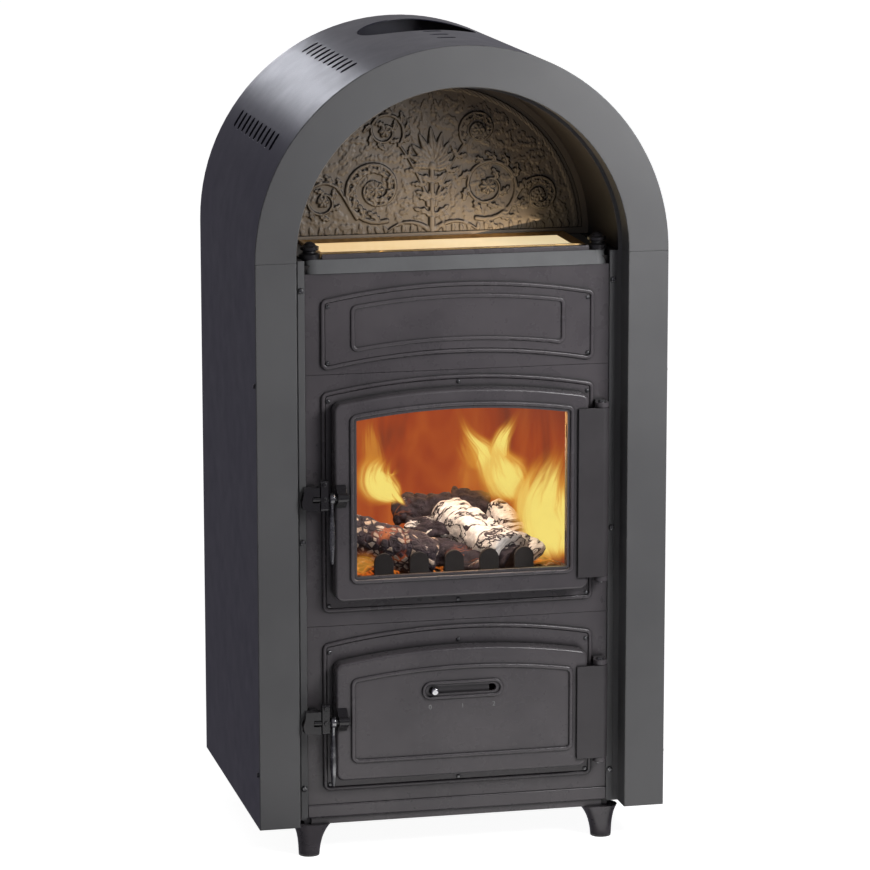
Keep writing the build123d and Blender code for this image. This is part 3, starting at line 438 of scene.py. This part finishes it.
def burnt_wood(name, ash, blocks, turn, ember, glow, flaky=True):
    """A burning log: char under ash, in loose flakes or in the small squares that char splits into."""
    f = Finish(name, (0.02, 0.018, 0.018), 0.85, Emission_Strength=1.0)
    along = f.turned(turn)
    grain = f.stretch(0.4, 1.0, 1.0, along)
    fine = f.noise(210.0, 5.0, 0.7, grain)
    if flaky:
        edges = f.noise(blocks, 5.0, 0.62, grain, 1.6)
        gaps = ((edges - 0.5) ** 2.0).step(0.00006, 0.0016)
        patch = f.noise(30.0, 4.0, 0.6, grain, 0.8)
    else:
        gaps = f.cells(blocks, "DISTANCE_TO_EDGE", along).step(0.06, 0.2)
        patch = f.axis("X", f.cells(blocks, "F1", along, "Color"))
        patch = patch * 0.5 + f.noise(26.0, 3.0, 0.6) * 0.5
    cover = (patch * 0.75 + fine * 0.25).step(0.76 - ash * 0.5, 0.8 - ash * 0.5) * gaps
    char = f.ramp(fine, [(0.3, (0.007, 0.005, 0.008)), (0.7, (0.045, 0.03, 0.042))])
    tan = f.ramp(fine, [(0.3, (0.16, 0.1, 0.065)), (0.65, (0.45, 0.34, 0.26))])
    white = f.ramp(fine, [(0.3, (0.4, 0.36, 0.34)), (0.62, (0.8, 0.77, 0.74))])
    powder = f.mix(f.noise(11.0, 3.0).step(0.62 - ash * 0.35, 0.8 - ash * 0.35), tan, white)
    f.set("Base Color", f.mix(cover, char, powder))
    heat = (1 - gaps) * f.noise(16.0, 3.0).step(0.66 - ember * 0.2, 0.76 - ember * 0.2) * ember
    warm = f.ramp(f.noise(60.0, 3.0), [(0.3, (0.5, 0.05, 0.004)), (0.7, (1.0, 0.25, 0.03))])
    lit = f.mix(heat, (0.0, 0.0, 0.0), warm)
    # Painted light: the ash cover emits a pale glow, scaled by glow, standing in for the firelight on it;
    # the embers' orange heat is their own glow.
    f.set("Emission Color", f.mix(cover * glow, lit, (0.1, 0.085, 0.075)))
    f.relief(fine * 0.5 + cover * 0.4 + gaps * 0.5, 0.0022, 0.9)
    return f


def ember_bed():
    f = Finish("embers", (0.03, 0.022, 0.02), 0.9, Emission_Strength=1.0)
    cracks = f.cells(70.0)
    heat = (1 - cracks.step(0.0, 0.16)) * f.noise(14.0, 3.0).step(0.35, 0.6)
    ash = f.noise(60.0, 4.0, 0.65).step(0.52, 0.66)
    f.set("Base Color", f.mix(ash, (0.015, 0.012, 0.012), (0.4, 0.37, 0.35)))
    warm = f.ramp(f.noise(40.0, 3.0), [(0.3, (0.5, 0.04, 0.004)), (0.7, (1.0, 0.32, 0.04))])
    f.set("Emission Color", f.mix(heat, (0.0, 0.0, 0.0), warm))
    f.relief(cracks, 0.003, 0.8)
    return f


def flame_finish(name, core, edge, strength, cover=1.0):
    """A tongue of flame: hot in its middle, fading at its sides and ends, streaked along its length."""
    f = Finish(name, (0.0, 0.0, 0.0), 1.0, Specular_IOR_Level=0.0, Emission_Strength=strength)
    sheet = f.node("ShaderNodeUVMap", {"uv_map": "sheet"})
    across = f.axis("X", sheet)
    along = f.axis("Y", sheet)
    streaks = f.noise(4.0, 4.0, 0.55, f.stretch(2.6, 0.6, 1.0, sheet), 0.6)
    side = 1 - ((across * 2 - 1) ** 2.0)
    ends = along.step(0.0, 0.22) * (1 - along.step(0.45, 1.0))
    body = (side ** 2.2) * ends * (0.2 + streaks * 1.5)
    f.set("Alpha", body.step(0.02, 0.8) * cover)
    f.set("Emission Color", f.mix(body.step(0.2, 0.95), edge, core))
    return f


def fire_back():
    """Painted firelight: the glow of the fire on the back of the chamber, in soft drifting clouds, with
    painted shade dimming it toward the upper corners.
    """
    f = Finish("fire glow", (0.0, 0.0, 0.0), 1.0, Specular_IOR_Level=0.0, Emission_Strength=1.0)
    rising = f.stretch(1.0, 1.0, 0.3)
    drift = f.noise(12.0, 3.0, 0.55, rising, 0.7)
    side = (f.axis("X") * -1).step(0.02, 0.16).most(f.axis("X").step(0.06, 0.17))
    high = f.axis("Z").step(0.54, 0.66)
    warm = f.ramp(drift, [(0.3, (0.2, 0.045, 0.022)), (0.46, (0.36, 0.062, 0.02)),
                          (0.6, (0.46, 0.1, 0.024)), (0.8, (0.66, 0.24, 0.04))])
    # Painted shade: the glow dims toward a dull red in the upper corners.
    shaded_corner_glow = f.mix((side * high) * 0.75, warm, (0.17, 0.05, 0.032))
    f.set("Emission Color", f.mix(high * 0.25, shaded_corner_glow, (0.3, 0.055, 0.03)))
    return f


class Carving:
    """A height map of a carved field, in millimetres, on points across and up from its lower middle."""

    def __init__(self, across, up):
        self.across = across
        self.up = up
        self.height = np.zeros_like(across)
        self.taken = np.zeros_like(across, bool)

    def near(self, x, z, reach):
        """The points of the field in a square round a place."""
        return np.nonzero((abs(self.across - x) < reach) & (abs(self.up - z) < reach))

    def raise_to(self, where, height, inside):
        """Lay a form over what is there, with a small step down round its edge."""
        old = self.height[where]
        self.height[where] = np.where(inside, np.maximum(height, old * 0.45 + height * 0.55), old)
        self.taken[where] |= inside

    def leaf(self, x, z, angle, length, width, lift, lobes=0):
        """A pointed leaf with a midrib and side veins, lobed at its edge if asked."""
        where = self.near(x, z, length * 1.05)
        dx = self.across[where] - x
        dz = self.up[where] - z
        c, s = math.cos(angle), math.sin(angle)
        along = (dx * c + dz * s) / length
        across = dz * c - dx * s + width * 0.12 * np.sin(along * math.pi * 1.5)
        shape = np.clip(np.sin(math.pi * np.clip(along, 0, 1) ** 0.8), 0, 1) ** 0.75
        if lobes:
            shape = shape * (0.8 + 0.24 * np.cos(along * lobes * 2 * math.pi + math.pi))
        half = np.maximum(shape * width / 2, 0.01)
        share = abs(across) / half
        inside = (along > 0) & (along < 1) & (share < 1)
        belly = 0.55 + 0.45 * np.sin(math.pi * np.clip(along, 0, 1))
        swell = np.sqrt(np.clip(1 - share**2.2, 0, 1)) * belly
        midrib = np.exp(-((across / (width * 0.05 + 0.35)) ** 2))
        veins = 0.5 + 0.5 * np.cos((along * (lobes or 6) - share * 0.32) * 2 * math.pi)
        height = lift * (0.35 + 0.65 * swell) - midrib * lift * 0.3 - veins * lift * 0.13 * (share > 0.15)
        self.raise_to(where, height, inside)

    def stem(self, points, thick_start, thick_end, lift):
        """A round stem along a line of points, thinning to its end."""
        count = len(points) - 1
        for i, (a, b) in enumerate(zip(points, points[1:])):
            radius = thick_start + (thick_end - thick_start) * i / count
            ax, az = a
            bx, bz = b
            long = math.hypot(bx - ax, bz - az)
            where = self.near((ax + bx) / 2, (az + bz) / 2, long / 2 + radius * 2)
            dx, dz = self.across[where] - ax, self.up[where] - az
            share = np.clip((dx * (bx - ax) + dz * (bz - az)) / long**2, 0, 1)
            gap = np.hypot(dx - share * (bx - ax), dz - share * (bz - az))
            inside = gap < radius
            height = lift * np.sqrt(np.clip(1 - (gap / radius) ** 2, 0, 1)) + 0.6
            old = self.height[where]
            self.height[where] = np.where(inside, np.maximum(old, height), old)
            self.taken[where] |= inside

    def berry(self, x, z, radius, lift):
        """A round berry on the field."""
        where = self.near(x, z, radius)
        gap = np.hypot(self.across[where] - x, self.up[where] - z)
        height = lift * (0.4 + 0.6 * np.sqrt(np.clip(1 - (gap / radius) ** 2, 0, 1)))
        self.raise_to(where, height, gap < radius)

    def rosette(self, x, z, radius, lift, petals=8):
        """A round flower of even petals with a domed middle."""
        where = self.near(x, z, radius)
        dx, dz = self.across[where] - x, self.up[where] - z
        gap = np.hypot(dx, dz) / radius
        wave = abs(np.cos(np.arctan2(dz, dx) * petals / 2))
        inside = gap < 0.72 + 0.28 * wave
        height = lift * (0.35 + 0.5 * wave * np.sin(np.clip(gap, 0, 1) * math.pi) + 0.12)
        middle = lift * 1.05 * np.sqrt(np.clip(1 - (gap / 0.34) ** 2, 0, 1))
        self.raise_to(where, np.maximum(height, middle), inside)

    def free(self, x, z, reach):
        """Whether most of the field round a point is still bare."""
        where = self.near(x, z, reach)
        return where[0].size > 0 and self.taken[where].mean() < 0.3


def scroll(x, z, radius, start, turns, side):
    """Points of a spiral that winds in to a centre."""
    points = []
    steps = int(turns * 26)
    for i in range(steps + 1):
        share = i / steps
        angle = math.radians(start) + side * share * turns * 2 * math.pi
        reach = radius * (1 - share * 0.78)
        points.append((x + reach * math.cos(angle), z + reach * math.sin(angle)))
    return points


def leafy(carving, points, length, width, lift, spacing, first=0.0, lean=42, inner=False):
    """Leaves along a stem, on its outside or on both sides, a little shorter from one to the next."""
    walked = first
    for (ax, az), (bx, bz) in zip(points, points[1:]):
        walked += math.hypot(bx - ax, bz - az)
        if walked >= spacing:
            walked = 0.0
            heading = math.atan2(bz - az, bx - ax)
            for side in ((-1, 1) if inner else (-1,)):
                turn = heading + side * math.radians(lean)
                carving.leaf(ax, az, turn, length, width, lift, 3)
                length *= 0.985


def carve_scrolls(carving):
    """Three leafy scrolls on each side, with a flower in each."""
    for side in (-1, 1):
        lower = scroll(side * 84, 66, 50, 250 if side > 0 else 290, 1.55, side)
        upper = scroll(side * 70, 150, 30, 225 if side > 0 else 315, 1.45, -side)
        outer = scroll(side * 162, 50, 30, 160 if side > 0 else 20, 1.4, -side)
        trunk = [(side * (4 + 62 * t), 4 + 12 * t * (1 - t) * 4) for t in np.linspace(0, 1, 12)]
        branch = [(side * (6 + 44 * t**1.5), 40 + 92 * t) for t in np.linspace(0, 1, 14)]
        reach = [(side * (112 + 22 * t), 24 + 36 * t) for t in np.linspace(0, 1, 8)]
        stems = ((trunk, 4.2), (lower, 3.8), (branch, 3.0), (upper, 2.8), (reach, 3.0), (outer, 2.8))
        for line, thick in stems:
            carving.stem(line, thick, 1.6, 3.6)
        leafy(carving, lower, 25, 13, 5.6, 17)
        leafy(carving, upper, 19, 10, 5.0, 13)
        leafy(carving, outer, 19, 10, 5.0, 13)
        leafy(carving, branch, 20, 9, 4.6, 20, 8.0, 50, True)
        carving.rosette(side * 84, 66, 13, 6.2)
        carving.rosette(side * 70, 150, 9.5, 5.6, 6)
        carving.rosette(side * 162, 50, 9.5, 5.6, 6)


def carve_palmette(carving):
    """A fan of nine plain leaves on a leafy stem, in the middle."""
    fan = ((0, 60), (-19, 54), (19, 54), (-39, 46), (39, 46), (-60, 38), (60, 38), (-80, 32), (80, 32))
    for turn, length in fan:
        carving.leaf(0, 96, math.radians(90 + turn), length, 14, 6.4, 0)
    carving.stem([(0, 2), (0, 30), (0, 98)], 5.0, 3.6, 4.4)
    for height in (24, 50, 74):
        for side in (-1, 1):
            carving.leaf(0, height, math.radians(90 - side * 62), 34 - height * 0.12, 12, 5.2, 3)
    carving.berry(0, 98, 6.5, 6.4)


def carve_border(carving, radius, low, draw):
    """A row of leaves along the arch and another along the floor."""
    arch_leaves, floor_leaves = 62, 34
    arch_radius = radius - 12
    for i in range(arch_leaves):
        turn = math.pi * (i + 0.5) / arch_leaves
        lean = math.radians(72 if turn < math.pi / 2 else -72)
        x, z = arch_radius * math.cos(turn), arch_radius * math.sin(turn) - low
        carving.leaf(x, z, turn + lean, 18, 7, 2.6)
    for i in range(floor_leaves):
        x = (radius - 22) * (i * 2 / (floor_leaves - 1) - 1)
        carving.leaf(x, 0, math.radians(90 + draw.uniform(-16, 16)), draw.uniform(11, 17), 6, 3.2)


def carve_ground(carving, radius, low, draw):
    """Low leaves wherever the field is still bare."""
    tries = 1500
    for _ in range(tries):
        angle = draw.uniform(0, math.pi)
        reach = (radius - 18) * math.sqrt(draw.random())
        x, z = reach * math.cos(angle), reach * math.sin(angle) - low
        size = draw.uniform(12, 26)
        turn = draw.uniform(0, 2 * math.pi)
        middle = (x + math.cos(turn) * size / 2, z + math.sin(turn) * size / 2)
        if z < 4 or not carving.free(*middle, size * 0.42):
            continue
        carving.leaf(x, z, turn, size, size * 0.5, draw.uniform(1.4, 2.4), 3)


def niche_relief(finish):
    """Leaf scrolls about a palmette, carved on the plate at the back of the niche."""
    low = (niche_floor - spring) / MM + 9.0
    radius = relief_high.x / MM - 8.7
    rows, columns = 210, 420
    ground_depth, buried_depth = 207.8, 208.3
    ups = np.linspace(low, math.sqrt(radius**2 - 1.0), rows)
    half = np.sqrt(radius**2 - ups**2)
    across = half[:, None] * np.linspace(-1, 1, columns)[None, :]
    up = np.repeat(ups[:, None], columns, 1) - low
    carving = Carving(across, up)
    draw = random.Random(7)
    carve_scrolls(carving)
    carve_palmette(carving)
    carve_border(carving, radius, low, draw)
    carve_ground(carving, radius, low, draw)

    ground = [[0.25 * noise.noise((x * 0.09, z * 0.09, 0.0)) + 0.12 * noise.noise((x * 0.4, z * 0.4, 3.0))
               for x, z in zip(xs, zs)] for xs, zs in zip(across, up)]
    height = np.clip(carving.height, 0, 7.2) * 0.85 + np.array(ground) + 0.3
    depth = ground_depth - height
    depth[0, :] = depth[-1, :] = depth[:, 0] = depth[:, -1] = buried_depth
    lift = low + spring / MM
    verts = [spot(x, d, z + lift) for x, d, z in zip(across.flat, depth.flat, up.flat)]
    back = tuple(reversed(grid_rim(rows, columns)))
    obj = piece("niche_relief", verts, grid_faces(rows, columns) + [back], finish)


def log(name, finish, start, end, radius, seed, squash, spin, bark=1.0):
    """A split, charred log between two ends, with cracked faces and broken ends."""
    lumps, flakes, cracks, splinters = 18, 60, 55, 40
    rings, sides = 54, 44
    draw = random.Random(seed)
    a, b = Vector(start), Vector(end)
    axis = (b - a).normalized()
    flat = axis.cross(Vector((0, 0, 1))).normalized()
    tall = flat.cross(axis)
    corners = sorted(draw.uniform(0, 2 * math.pi) for _ in range(5))
    facets = [(turn, draw.uniform(0.78, 0.98)) for turn in corners]
    shift = Vector([draw.uniform(-50, 50) for _ in range(3)])
    verts = []
    for i in range(rings):
        share = i / (rings - 1)
        middle = a + (b - a) * share
        bow = noise.noise(Vector((share * 2.2, seed, 0))) * radius * 0.25
        close = min(share, 1 - share)
        end_round = min(1.0, 0.86 + close * 3.5)
        torn = 1 if i in (0, rings - 1) else 0.3
        for k in range(sides):
            turn = 2 * math.pi * k / sides + spin
            reach = 1.0
            for facet, limit in facets:
                cosine = math.cos(turn - facet)
                if cosine > 0:
                    reach = min(reach, limit / max(cosine, 0.3))
            place = middle + (flat * math.cos(turn) + tall * math.sin(turn)) * radius
            rough = noise.noise(place * lumps + shift) * 0.16 + noise.noise(place * flakes + shift) * 0.08
            gaps, _ = noise.voronoi(place * cracks + shift)
            crack = min(1.0, (gaps[1] - gaps[0]) * 3.0)
            reach = (reach + (rough - (1 - crack) * 0.09) * bark) * end_round * radius
            side = flat * math.cos(turn) * reach + tall * (math.sin(turn) * reach * squash + bow)
            jag = axis * noise.noise(place * splinters + shift) * radius * 0.22 * torn
            verts.append(middle + side + jag)
    faces = []
    for i in range(rings - 1):
        for k in range(sides):
            n = (k + 1) % sides
            faces.append((i * sides + k, i * sides + n, (i + 1) * sides + n, (i + 1) * sides + k))
    for ring, order in ((0, -1), (rings - 1, 1)):
        middle = sum((verts[ring * sides + k] for k in range(sides)), Vector()) / sides
        inward = axis * radius * 0.14 * -order
        hub = len(verts)
        verts.append(middle + inward)
        for k in range(sides):
            n = (k + 1) % sides
            edge = (ring * sides + k, ring * sides + n)
            faces.append((*edge, hub) if order > 0 else (edge[1], edge[0], hub))
    obj = piece(name, verts, faces, finish)
    soften = obj.modifiers.new("soften", "SUBSURF")
    soften.levels = soften.render_levels = 1


def fire_logs():
    """Logs as they lie on the grate: blocky char at the left, ash over the middle, char behind."""
    pale = burnt_wood("ash on wood", 1.0, 26.0, 24.0, 0.1, 0.9)
    blocky = burnt_wood("blocky char", 0.5, 105.0, -14.0, 0.5, 0.5, False)
    tan = burnt_wood("half burnt wood", 0.5, 34.0, 14.0, 0.3, 0.6)
    black = burnt_wood("black char", 0.3, 46.0, 20.0, 0.3, 0.2)
    log("log_blocky", blocky, spot(-172, 130, 466), spot(-20, 92, 420), 34 * MM, 11, 0.95, 1.2)
    log("log_ashen", pale, spot(22, 212, 462), spot(94, 98, 424), 38 * MM, 3, 0.9, 0.3)
    log("log_ashen_end", black, spot(82, 112, 416), spot(98, 90, 410), 27 * MM, 41, 1.0, 0.3)
    log("log_leaning", pale, spot(96, 225, 466), spot(148, 150, 404), 19 * MM, 21, 0.9, 2.0)
    log("log_charred", black, spot(-54, 240, 460), spot(34, 218, 470), 30 * MM, 5, 0.85, 0.7, 1.6)
    log("log_back", black, spot(36, 246, 468), spot(92, 228, 462), 30 * MM, 8, 0.9, 0.0, 1.6)
    log("log_plank", tan, spot(-44, 196, 446), spot(40, 176, 446), 24 * MM, 31, 0.7, 0.5, 1.4)
    log("log_under", black, spot(-90, 160, 410), spot(40, 140, 408), 30 * MM, 17, 0.8, 0.9, 1.4)
    log("log_broken", black, spot(0, 128, 406), spot(86, 104, 398), 26 * MM, 14, 0.95, 0.0)


def embers():
    """A bed of embers and ash that covers the grate between the logs."""
    columns, rows = 90, 70
    left, right, near, far = -188, 188, 70, 350
    verts = []
    for j in range(rows):
        for i in range(columns):
            u, v = i / (columns - 1), j / (rows - 1)
            edge = min(u, 1 - u, v, 1 - v)
            place = spot(left + (right - left) * u, near + (far - near) * v, 0)
            lumps = noise.noise(place * 30) * 7 + noise.noise(place * 75) * 5
            mound = 20 * math.sin(math.pi * u) * math.sin(math.pi * v) * min(1.0, edge * 8)
            top = max(grate_top / MM + 2.0, grate_top / MM + 6 + mound + lumps)
            verts.append(Vector((place.x, place.y, top * MM)))
    count = len(verts)
    verts += [Vector((v.x, v.y, grate_top + 0.3 * MM)) for v in verts]
    faces = grid_faces(rows, columns)
    faces += [tuple(count + k for k in reversed(quad)) for quad in faces]
    rim = grid_rim(rows, columns)
    faces += [(b, a, count + a, count + b) for a, b in zip(rim, rim[1:] + rim[:1])]
    piece("ember_bed", verts, faces, ember_bed())


def curve_through(points, share):
    """A smooth line through points: each is a tuple of numbers."""
    spans = len(points) - 1
    at = min(share * spans, spans - 1e-6)
    i = int(at)
    t = at - i
    p = [points[max(i - 1, 0)], points[i], points[i + 1], points[min(i + 2, spans)]]
    return [
        0.5 * (2 * b + (c - a) * t + (2 * a - 5 * b + 4 * c - d) * t * t + (3 * b - a - 3 * c + d) * t**3)
        for a, b, c, d in zip(*p)
    ]


def flame(name, finish, points):
    """A curved sheet of fire along points of (x, depth, z, width) in millimetres."""
    rows, columns = 40, 12
    verts, sheet = [], []
    for j in range(rows):
        share = j / (rows - 1)
        x, depth, z, width = curve_through(points, share)
        ahead = curve_through(points, min(1.0, share + 0.02))
        back = curve_through(points, max(0.0, share - 0.02))
        dx, dz = ahead[0] - back[0], ahead[2] - back[2]
        long = math.hypot(dx, dz) or 1.0
        for i in range(columns):
            u = i / (columns - 1) * 2 - 1
            bulge = (1 - u * u) * width * 0.3
            verts.append(spot(x + u * width / 2 * dz / long, depth - bulge, z - u * width / 2 * dx / long))
            sheet.append((i / (columns - 1), share))
    obj = piece(name, verts, grid_faces(rows, columns), finish)
    layer = obj.data.uv_layers.new(name="sheet")
    for loop in obj.data.loops:
        layer.data[loop.index].uv = sheet[loop.vertex_index]
    obj.visible_shadow = False


def flames():
    """Tongues of fire over the logs, each along its own line of (x, z, width)."""
    yellow = flame_finish("yellow flame", (1.0, 0.8, 0.2), (0.8, 0.32, 0.035), 1.0)
    amber = flame_finish("amber flame", (0.8, 0.36, 0.05), (0.5, 0.11, 0.02), 0.95, 0.5)
    sheet_spread = 1.7
    tongues = {
        "flame_left": (yellow, 215, [
            (-45, 479, 9), (-61, 494, 34), (-83, 512, 54), (-86, 532, 48), (-75, 547, 28), (-63, 557, 9)]),
        "flame_left_tail": (yellow, 200, [
            (-40, 476, 6), (-55, 492, 9), (-66, 512, 10), (-68, 534, 8), (-60, 560, 3)]),
        "flame_left_high": (amber, 240, [
            (-81, 505, 40), (-84, 545, 34), (-88, 588, 26), (-84, 630, 16)]),
        "flame_middle": (yellow, 225, [
            (131, 466, 22), (114, 495, 58), (98, 524, 60), (79, 551, 34), (61, 573, 20), (48, 599, 14),
            (40, 640, 6)]),
        "flame_middle_right": (yellow, 218, [
            (103, 505, 36), (100, 540, 34), (107, 569, 25), (121, 590, 18), (140, 622, 6)]),
        "flame_middle_body": (yellow, 210, [
            (131, 470, 18), (120, 499, 50), (105, 524, 60), (95, 552, 30), (90, 575, 8)]),
        "flame_middle_soft": (amber, 235, [
            (84, 522, 40), (70, 545, 50), (56, 568, 40), (48, 610, 20)]),
        "flame_right": (yellow, 195, [
            (186, 380, 60), (167, 425, 82), (156, 470, 80), (167, 509, 66), (184, 545, 42), (196, 580, 12)]),
        "flame_right_edge": (yellow, 175, [
            (190, 390, 36), (188, 443, 36), (186, 491, 30), (190, 540, 12)]),
        "flame_right_low": (yellow, 190, [
            (142, 436, 24), (135, 465, 30), (133, 490, 25), (144, 519, 15), (157, 550, 6)]),
        "flame_streak": (amber, 185, [
            (122, 475, 8), (139, 502, 9), (153, 526, 8), (170, 565, 4)]),
        "flame_low_left": (amber, 95, [
            (-146, 408, 30), (-132, 420, 34), (-114, 420, 20), (-100, 412, 8)]),
    }
    for name, (finish, depth, line) in tongues.items():
        flame(name, finish, [(x, depth, z, width * sheet_spread) for x, z, width in line])


def glow_sheet():
    """A bowed emissive sheet in front of the rear brick, which paints the fire's light on it."""
    rows, columns = 24, 40
    half, back, bow = side_high.x / MM - 22, 352, 190
    low, high = 382, brick_high.z / MM - 4
    verts = []
    for j in range(rows):
        for i in range(columns):
            u, v = i / (columns - 1) * 2 - 1, j / (rows - 1)
            verts.append(spot(u * half, back - bow * abs(u) ** 3.4, low + (high - low) * v))
    obj = piece("fire_glow", verts, grid_faces(rows, columns), fire_back())
    obj.visible_shadow = False


def scale_marks():
    """Plain numbers under the air slide, raised on the ash door."""
    finish = mark_paint()
    panel_depth = (door_low.y - front) / MM + 3.0
    line_height = 220.5
    for name, x in (("0", -47.8), ("1", 0.0), ("2", 46.5)):
        text = bpy.data.curves.new("mark_" + name, "FONT")
        text.body = name
        text.size = 9.5 * MM
        text.extrude = 0.25 * MM
        text.align_x = "CENTER"
        text.align_y = "CENTER"
        obj = add_object("mark_" + name, text)
        obj.location = spot(x, panel_depth, line_height)
        obj.rotation_euler = (math.pi / 2, 0, 0)
        text.materials.append(finish.material)
        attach(obj, "ash_door")


def dress_nodes():
    """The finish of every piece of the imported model. The relief's finish is given back."""
    frame_grey, cast, enamel, shaded_hinges = frame_paint(), cast_black(), gloss_black(), shaded_hinge_iron()
    by_slot = {
        "frame_paint": frame_grey,
        "casing_paint": casing_paint(),
        "cast_black": cast,
        "chamber_iron": chamber_iron(),
        "relief_iron": relief_iron(),
        "bright_steel": bright_steel(),
        "blackened_steel": blackened_steel(),
        "latch_steel": latch_steel(),
        "polished_knob": polished_knob(),
        "shutter_steel": cast,
        "pan_sheet": pan_sheet(),
        "brass_frame": brass_frame(),
        "warming_glass": warming_glass(),
        "window_glass": window_glass(),
        "rope_seal": rope_seal(),
        "firebrick": firebrick(),
    }
    special = {
        "niche_liner": niche_paint(),
        "top_plate": lit_top_iron(),
        "latch_keepers": enamel,
        "fire_latch_bracket": enamel,
        "ash_latch_bracket": enamel,
        "fire_latch_hook": enamel,
        "ash_latch_hook": enamel,
        "corner_knobs": enamel,
        "retaining_strips": frame_grey,
        "fire_hinge_plate": shaded_hinges,
        "ash_hinge_plate": shaded_hinges,
    }
    slots = {row["node"]: row["material_slot"] for row in frame["record"]["subparts"]}
    for name, obj in nodes.items():
        finish = special.get(name) or by_slot[slots[name]]
        for slot in obj.material_slots:
            slot.material = finish.material
    return by_slot["relief_iron"]


def area_light(name, place, target, width, height, power, color=(1.0, 1.0, 1.0)):
    """A rectangular lamp that faces a target."""
    light = bpy.data.lights.new(name, "AREA")
    light.shape = "RECTANGLE"
    light.size, light.size_y = width, height
    light.energy = power
    light.color = color
    obj = add_object(name, light)
    obj.location = place
    obj.rotation_euler = (Vector(target) - Vector(place)).to_track_quat("-Z", "Y").to_euler()
    return obj


def lights():
    """Soft lamps of a studio, and small warm ones where the fire shines."""
    area_light("key", (0.9, -1.3, 1.3), (0, 0, 0.85), 0.6, 0.6, 21)
    area_light("fill", (-2.6, -4.4, 2.2), (0, 0, 0.75), 2.2, 2.2, 6)
    area_light("rear_strip", (-0.6, 4.2, 2.12), (-0.2, 0, 1.0), 0.9, 0.5, 11, (0.9, 0.92, 1.0))
    warm = (1.0, 0.72, 0.42)
    area_light("niche_glow", spot(30, 150, 884), spot(10, 175, 1000), 0.3, 0.08, 0.26, warm)
    orange, pale = (1.0, 0.5, 0.18), (1.0, 0.78, 0.6)
    fire = area_light("fire_light", spot(60, 300, 560), spot(0, 60, 430), 0.2, 0.14, 0.35, orange)
    over_logs = area_light("log_light", spot(20, 60, 620), spot(20, 150, 400), 0.24, 0.05, 0.95, pale)
    fire.visible_camera = over_logs.visible_camera = False


def room():
    """An even pale room that looks white behind the stove, in metal and through glass."""
    world = bpy.data.worlds.new("room")
    world.use_nodes = True
    bpy.context.scene.world = world
    back = world.node_tree.nodes["Background"]
    back.inputs["Color"].default_value = (1.0, 1.0, 1.0, 1.0)
    light = Nodes(world.node_tree)
    light.feed(back.inputs["Strength"], light.white_when_seen(0.18, 1.0))


def stage_mesh(name, verts, faces, finish):
    """A mesh that belongs to the room and not to the stove."""
    mesh = bpy.data.meshes.new(name)
    mesh.from_pydata(verts, [], faces)
    mesh.materials.append(finish.material)
    obj = add_object(name, mesh)
    return obj


def floor():
    """A pale floor that keeps the stove's shadow and looks white beyond it."""
    reach = 30.0
    f = Finish("pale floor", (0.5, 0.5, 0.5), 0.9, Specular_IOR_Level=0.1, Emission_Strength=1.0)
    f.set("Emission Color", f.mix(f.white_when_seen(0.0, 0.94), (0.0, 0.0, 0.0), (1.0, 1.0, 1.0)))
    corners = [(-reach, -reach, 0), (reach, -reach, 0), (reach, reach, 0), (-reach, reach, 0)]
    stage_mesh("floor", corners, [(0, 1, 2, 3)], f)


def dark_cards():
    """Dark cards on the floor beyond the stove, round it and over it, which only reflections see.

    The card on the floor has a round hole in front of the stove, where the stove mirrors the pale floor.
    """
    sides, reach, top, low = 48, 9.0, 9.0, 0.003
    hole, hole_x, hole_y = 0.55, 0.15, -0.75
    verts, faces = [(0, 0, top)], []
    for k in range(sides):
        turn = 2 * math.pi * k / sides
        x, y = math.cos(turn), math.sin(turn)
        verts += [(hole * x + hole_x, hole * y + hole_y, low), (reach * x, reach * y, low)]
        verts.append((reach * x, reach * y, top))
    for k in range(sides):
        a, b = 1 + 3 * k, 1 + 3 * ((k + 1) % sides)
        faces += [(a, a + 1, b + 1, b), (a + 1, a + 2, b + 2, b + 1), (0, b + 2, a + 2)]
    f = Finish("dark card", (0.0, 0.0, 0.0), 1.0, Specular_IOR_Level=0.0, Emission_Strength=1.0)
    pale = f.axis("Z").step(1.2, 2.4) * f.axis("X").step(-1.2, 1.0) * f.axis("Y").step(0.0, 5.0)
    grey = f.mix(f.noise(0.3), (0.13, 0.125, 0.155), (0.18, 0.17, 0.21))
    f.set("Emission Color", f.mix(pale, grey, (0.42, 0.41, 0.44)))
    obj = stage_mesh("dark_cards", verts, faces, f)
    obj.visible_camera = obj.visible_diffuse = obj.visible_transmission = obj.visible_shadow = False


def camera():
    """The photograph's viewpoint, found from the stove's own lines."""
    place = Vector((-1.3169, -5.827, 1.7782))
    yaw, pitch, roll = 0.2236, -0.1984, -0.0009
    focal, width = 4125.56, 870.0
    ahead = Vector((math.sin(yaw) * math.cos(pitch), math.cos(yaw) * math.cos(pitch), math.sin(pitch)))
    level = Vector((math.cos(yaw), -math.sin(yaw), 0))
    over = level.cross(ahead)
    right = level * math.cos(roll) + over * math.sin(roll)
    up = over * math.cos(roll) - level * math.sin(roll)
    data = bpy.data.cameras.new("camera")
    data.lens = focal / width * data.sensor_width
    data.clip_end = 100.0
    obj = add_object("camera", data)
    obj.matrix_world = Matrix((right, up, -ahead)).transposed().to_4x4()
    obj.location = place
    bpy.context.scene.camera = obj


bpy.context.scene.view_settings.view_transform = "Standard"
niche_relief(dress_nodes())
fire_logs()
embers()
flames()
glow_sheet()
scale_marks()
room()
floor()
dark_cards()
lights()
camera()
bpy.context.view_layer.update()
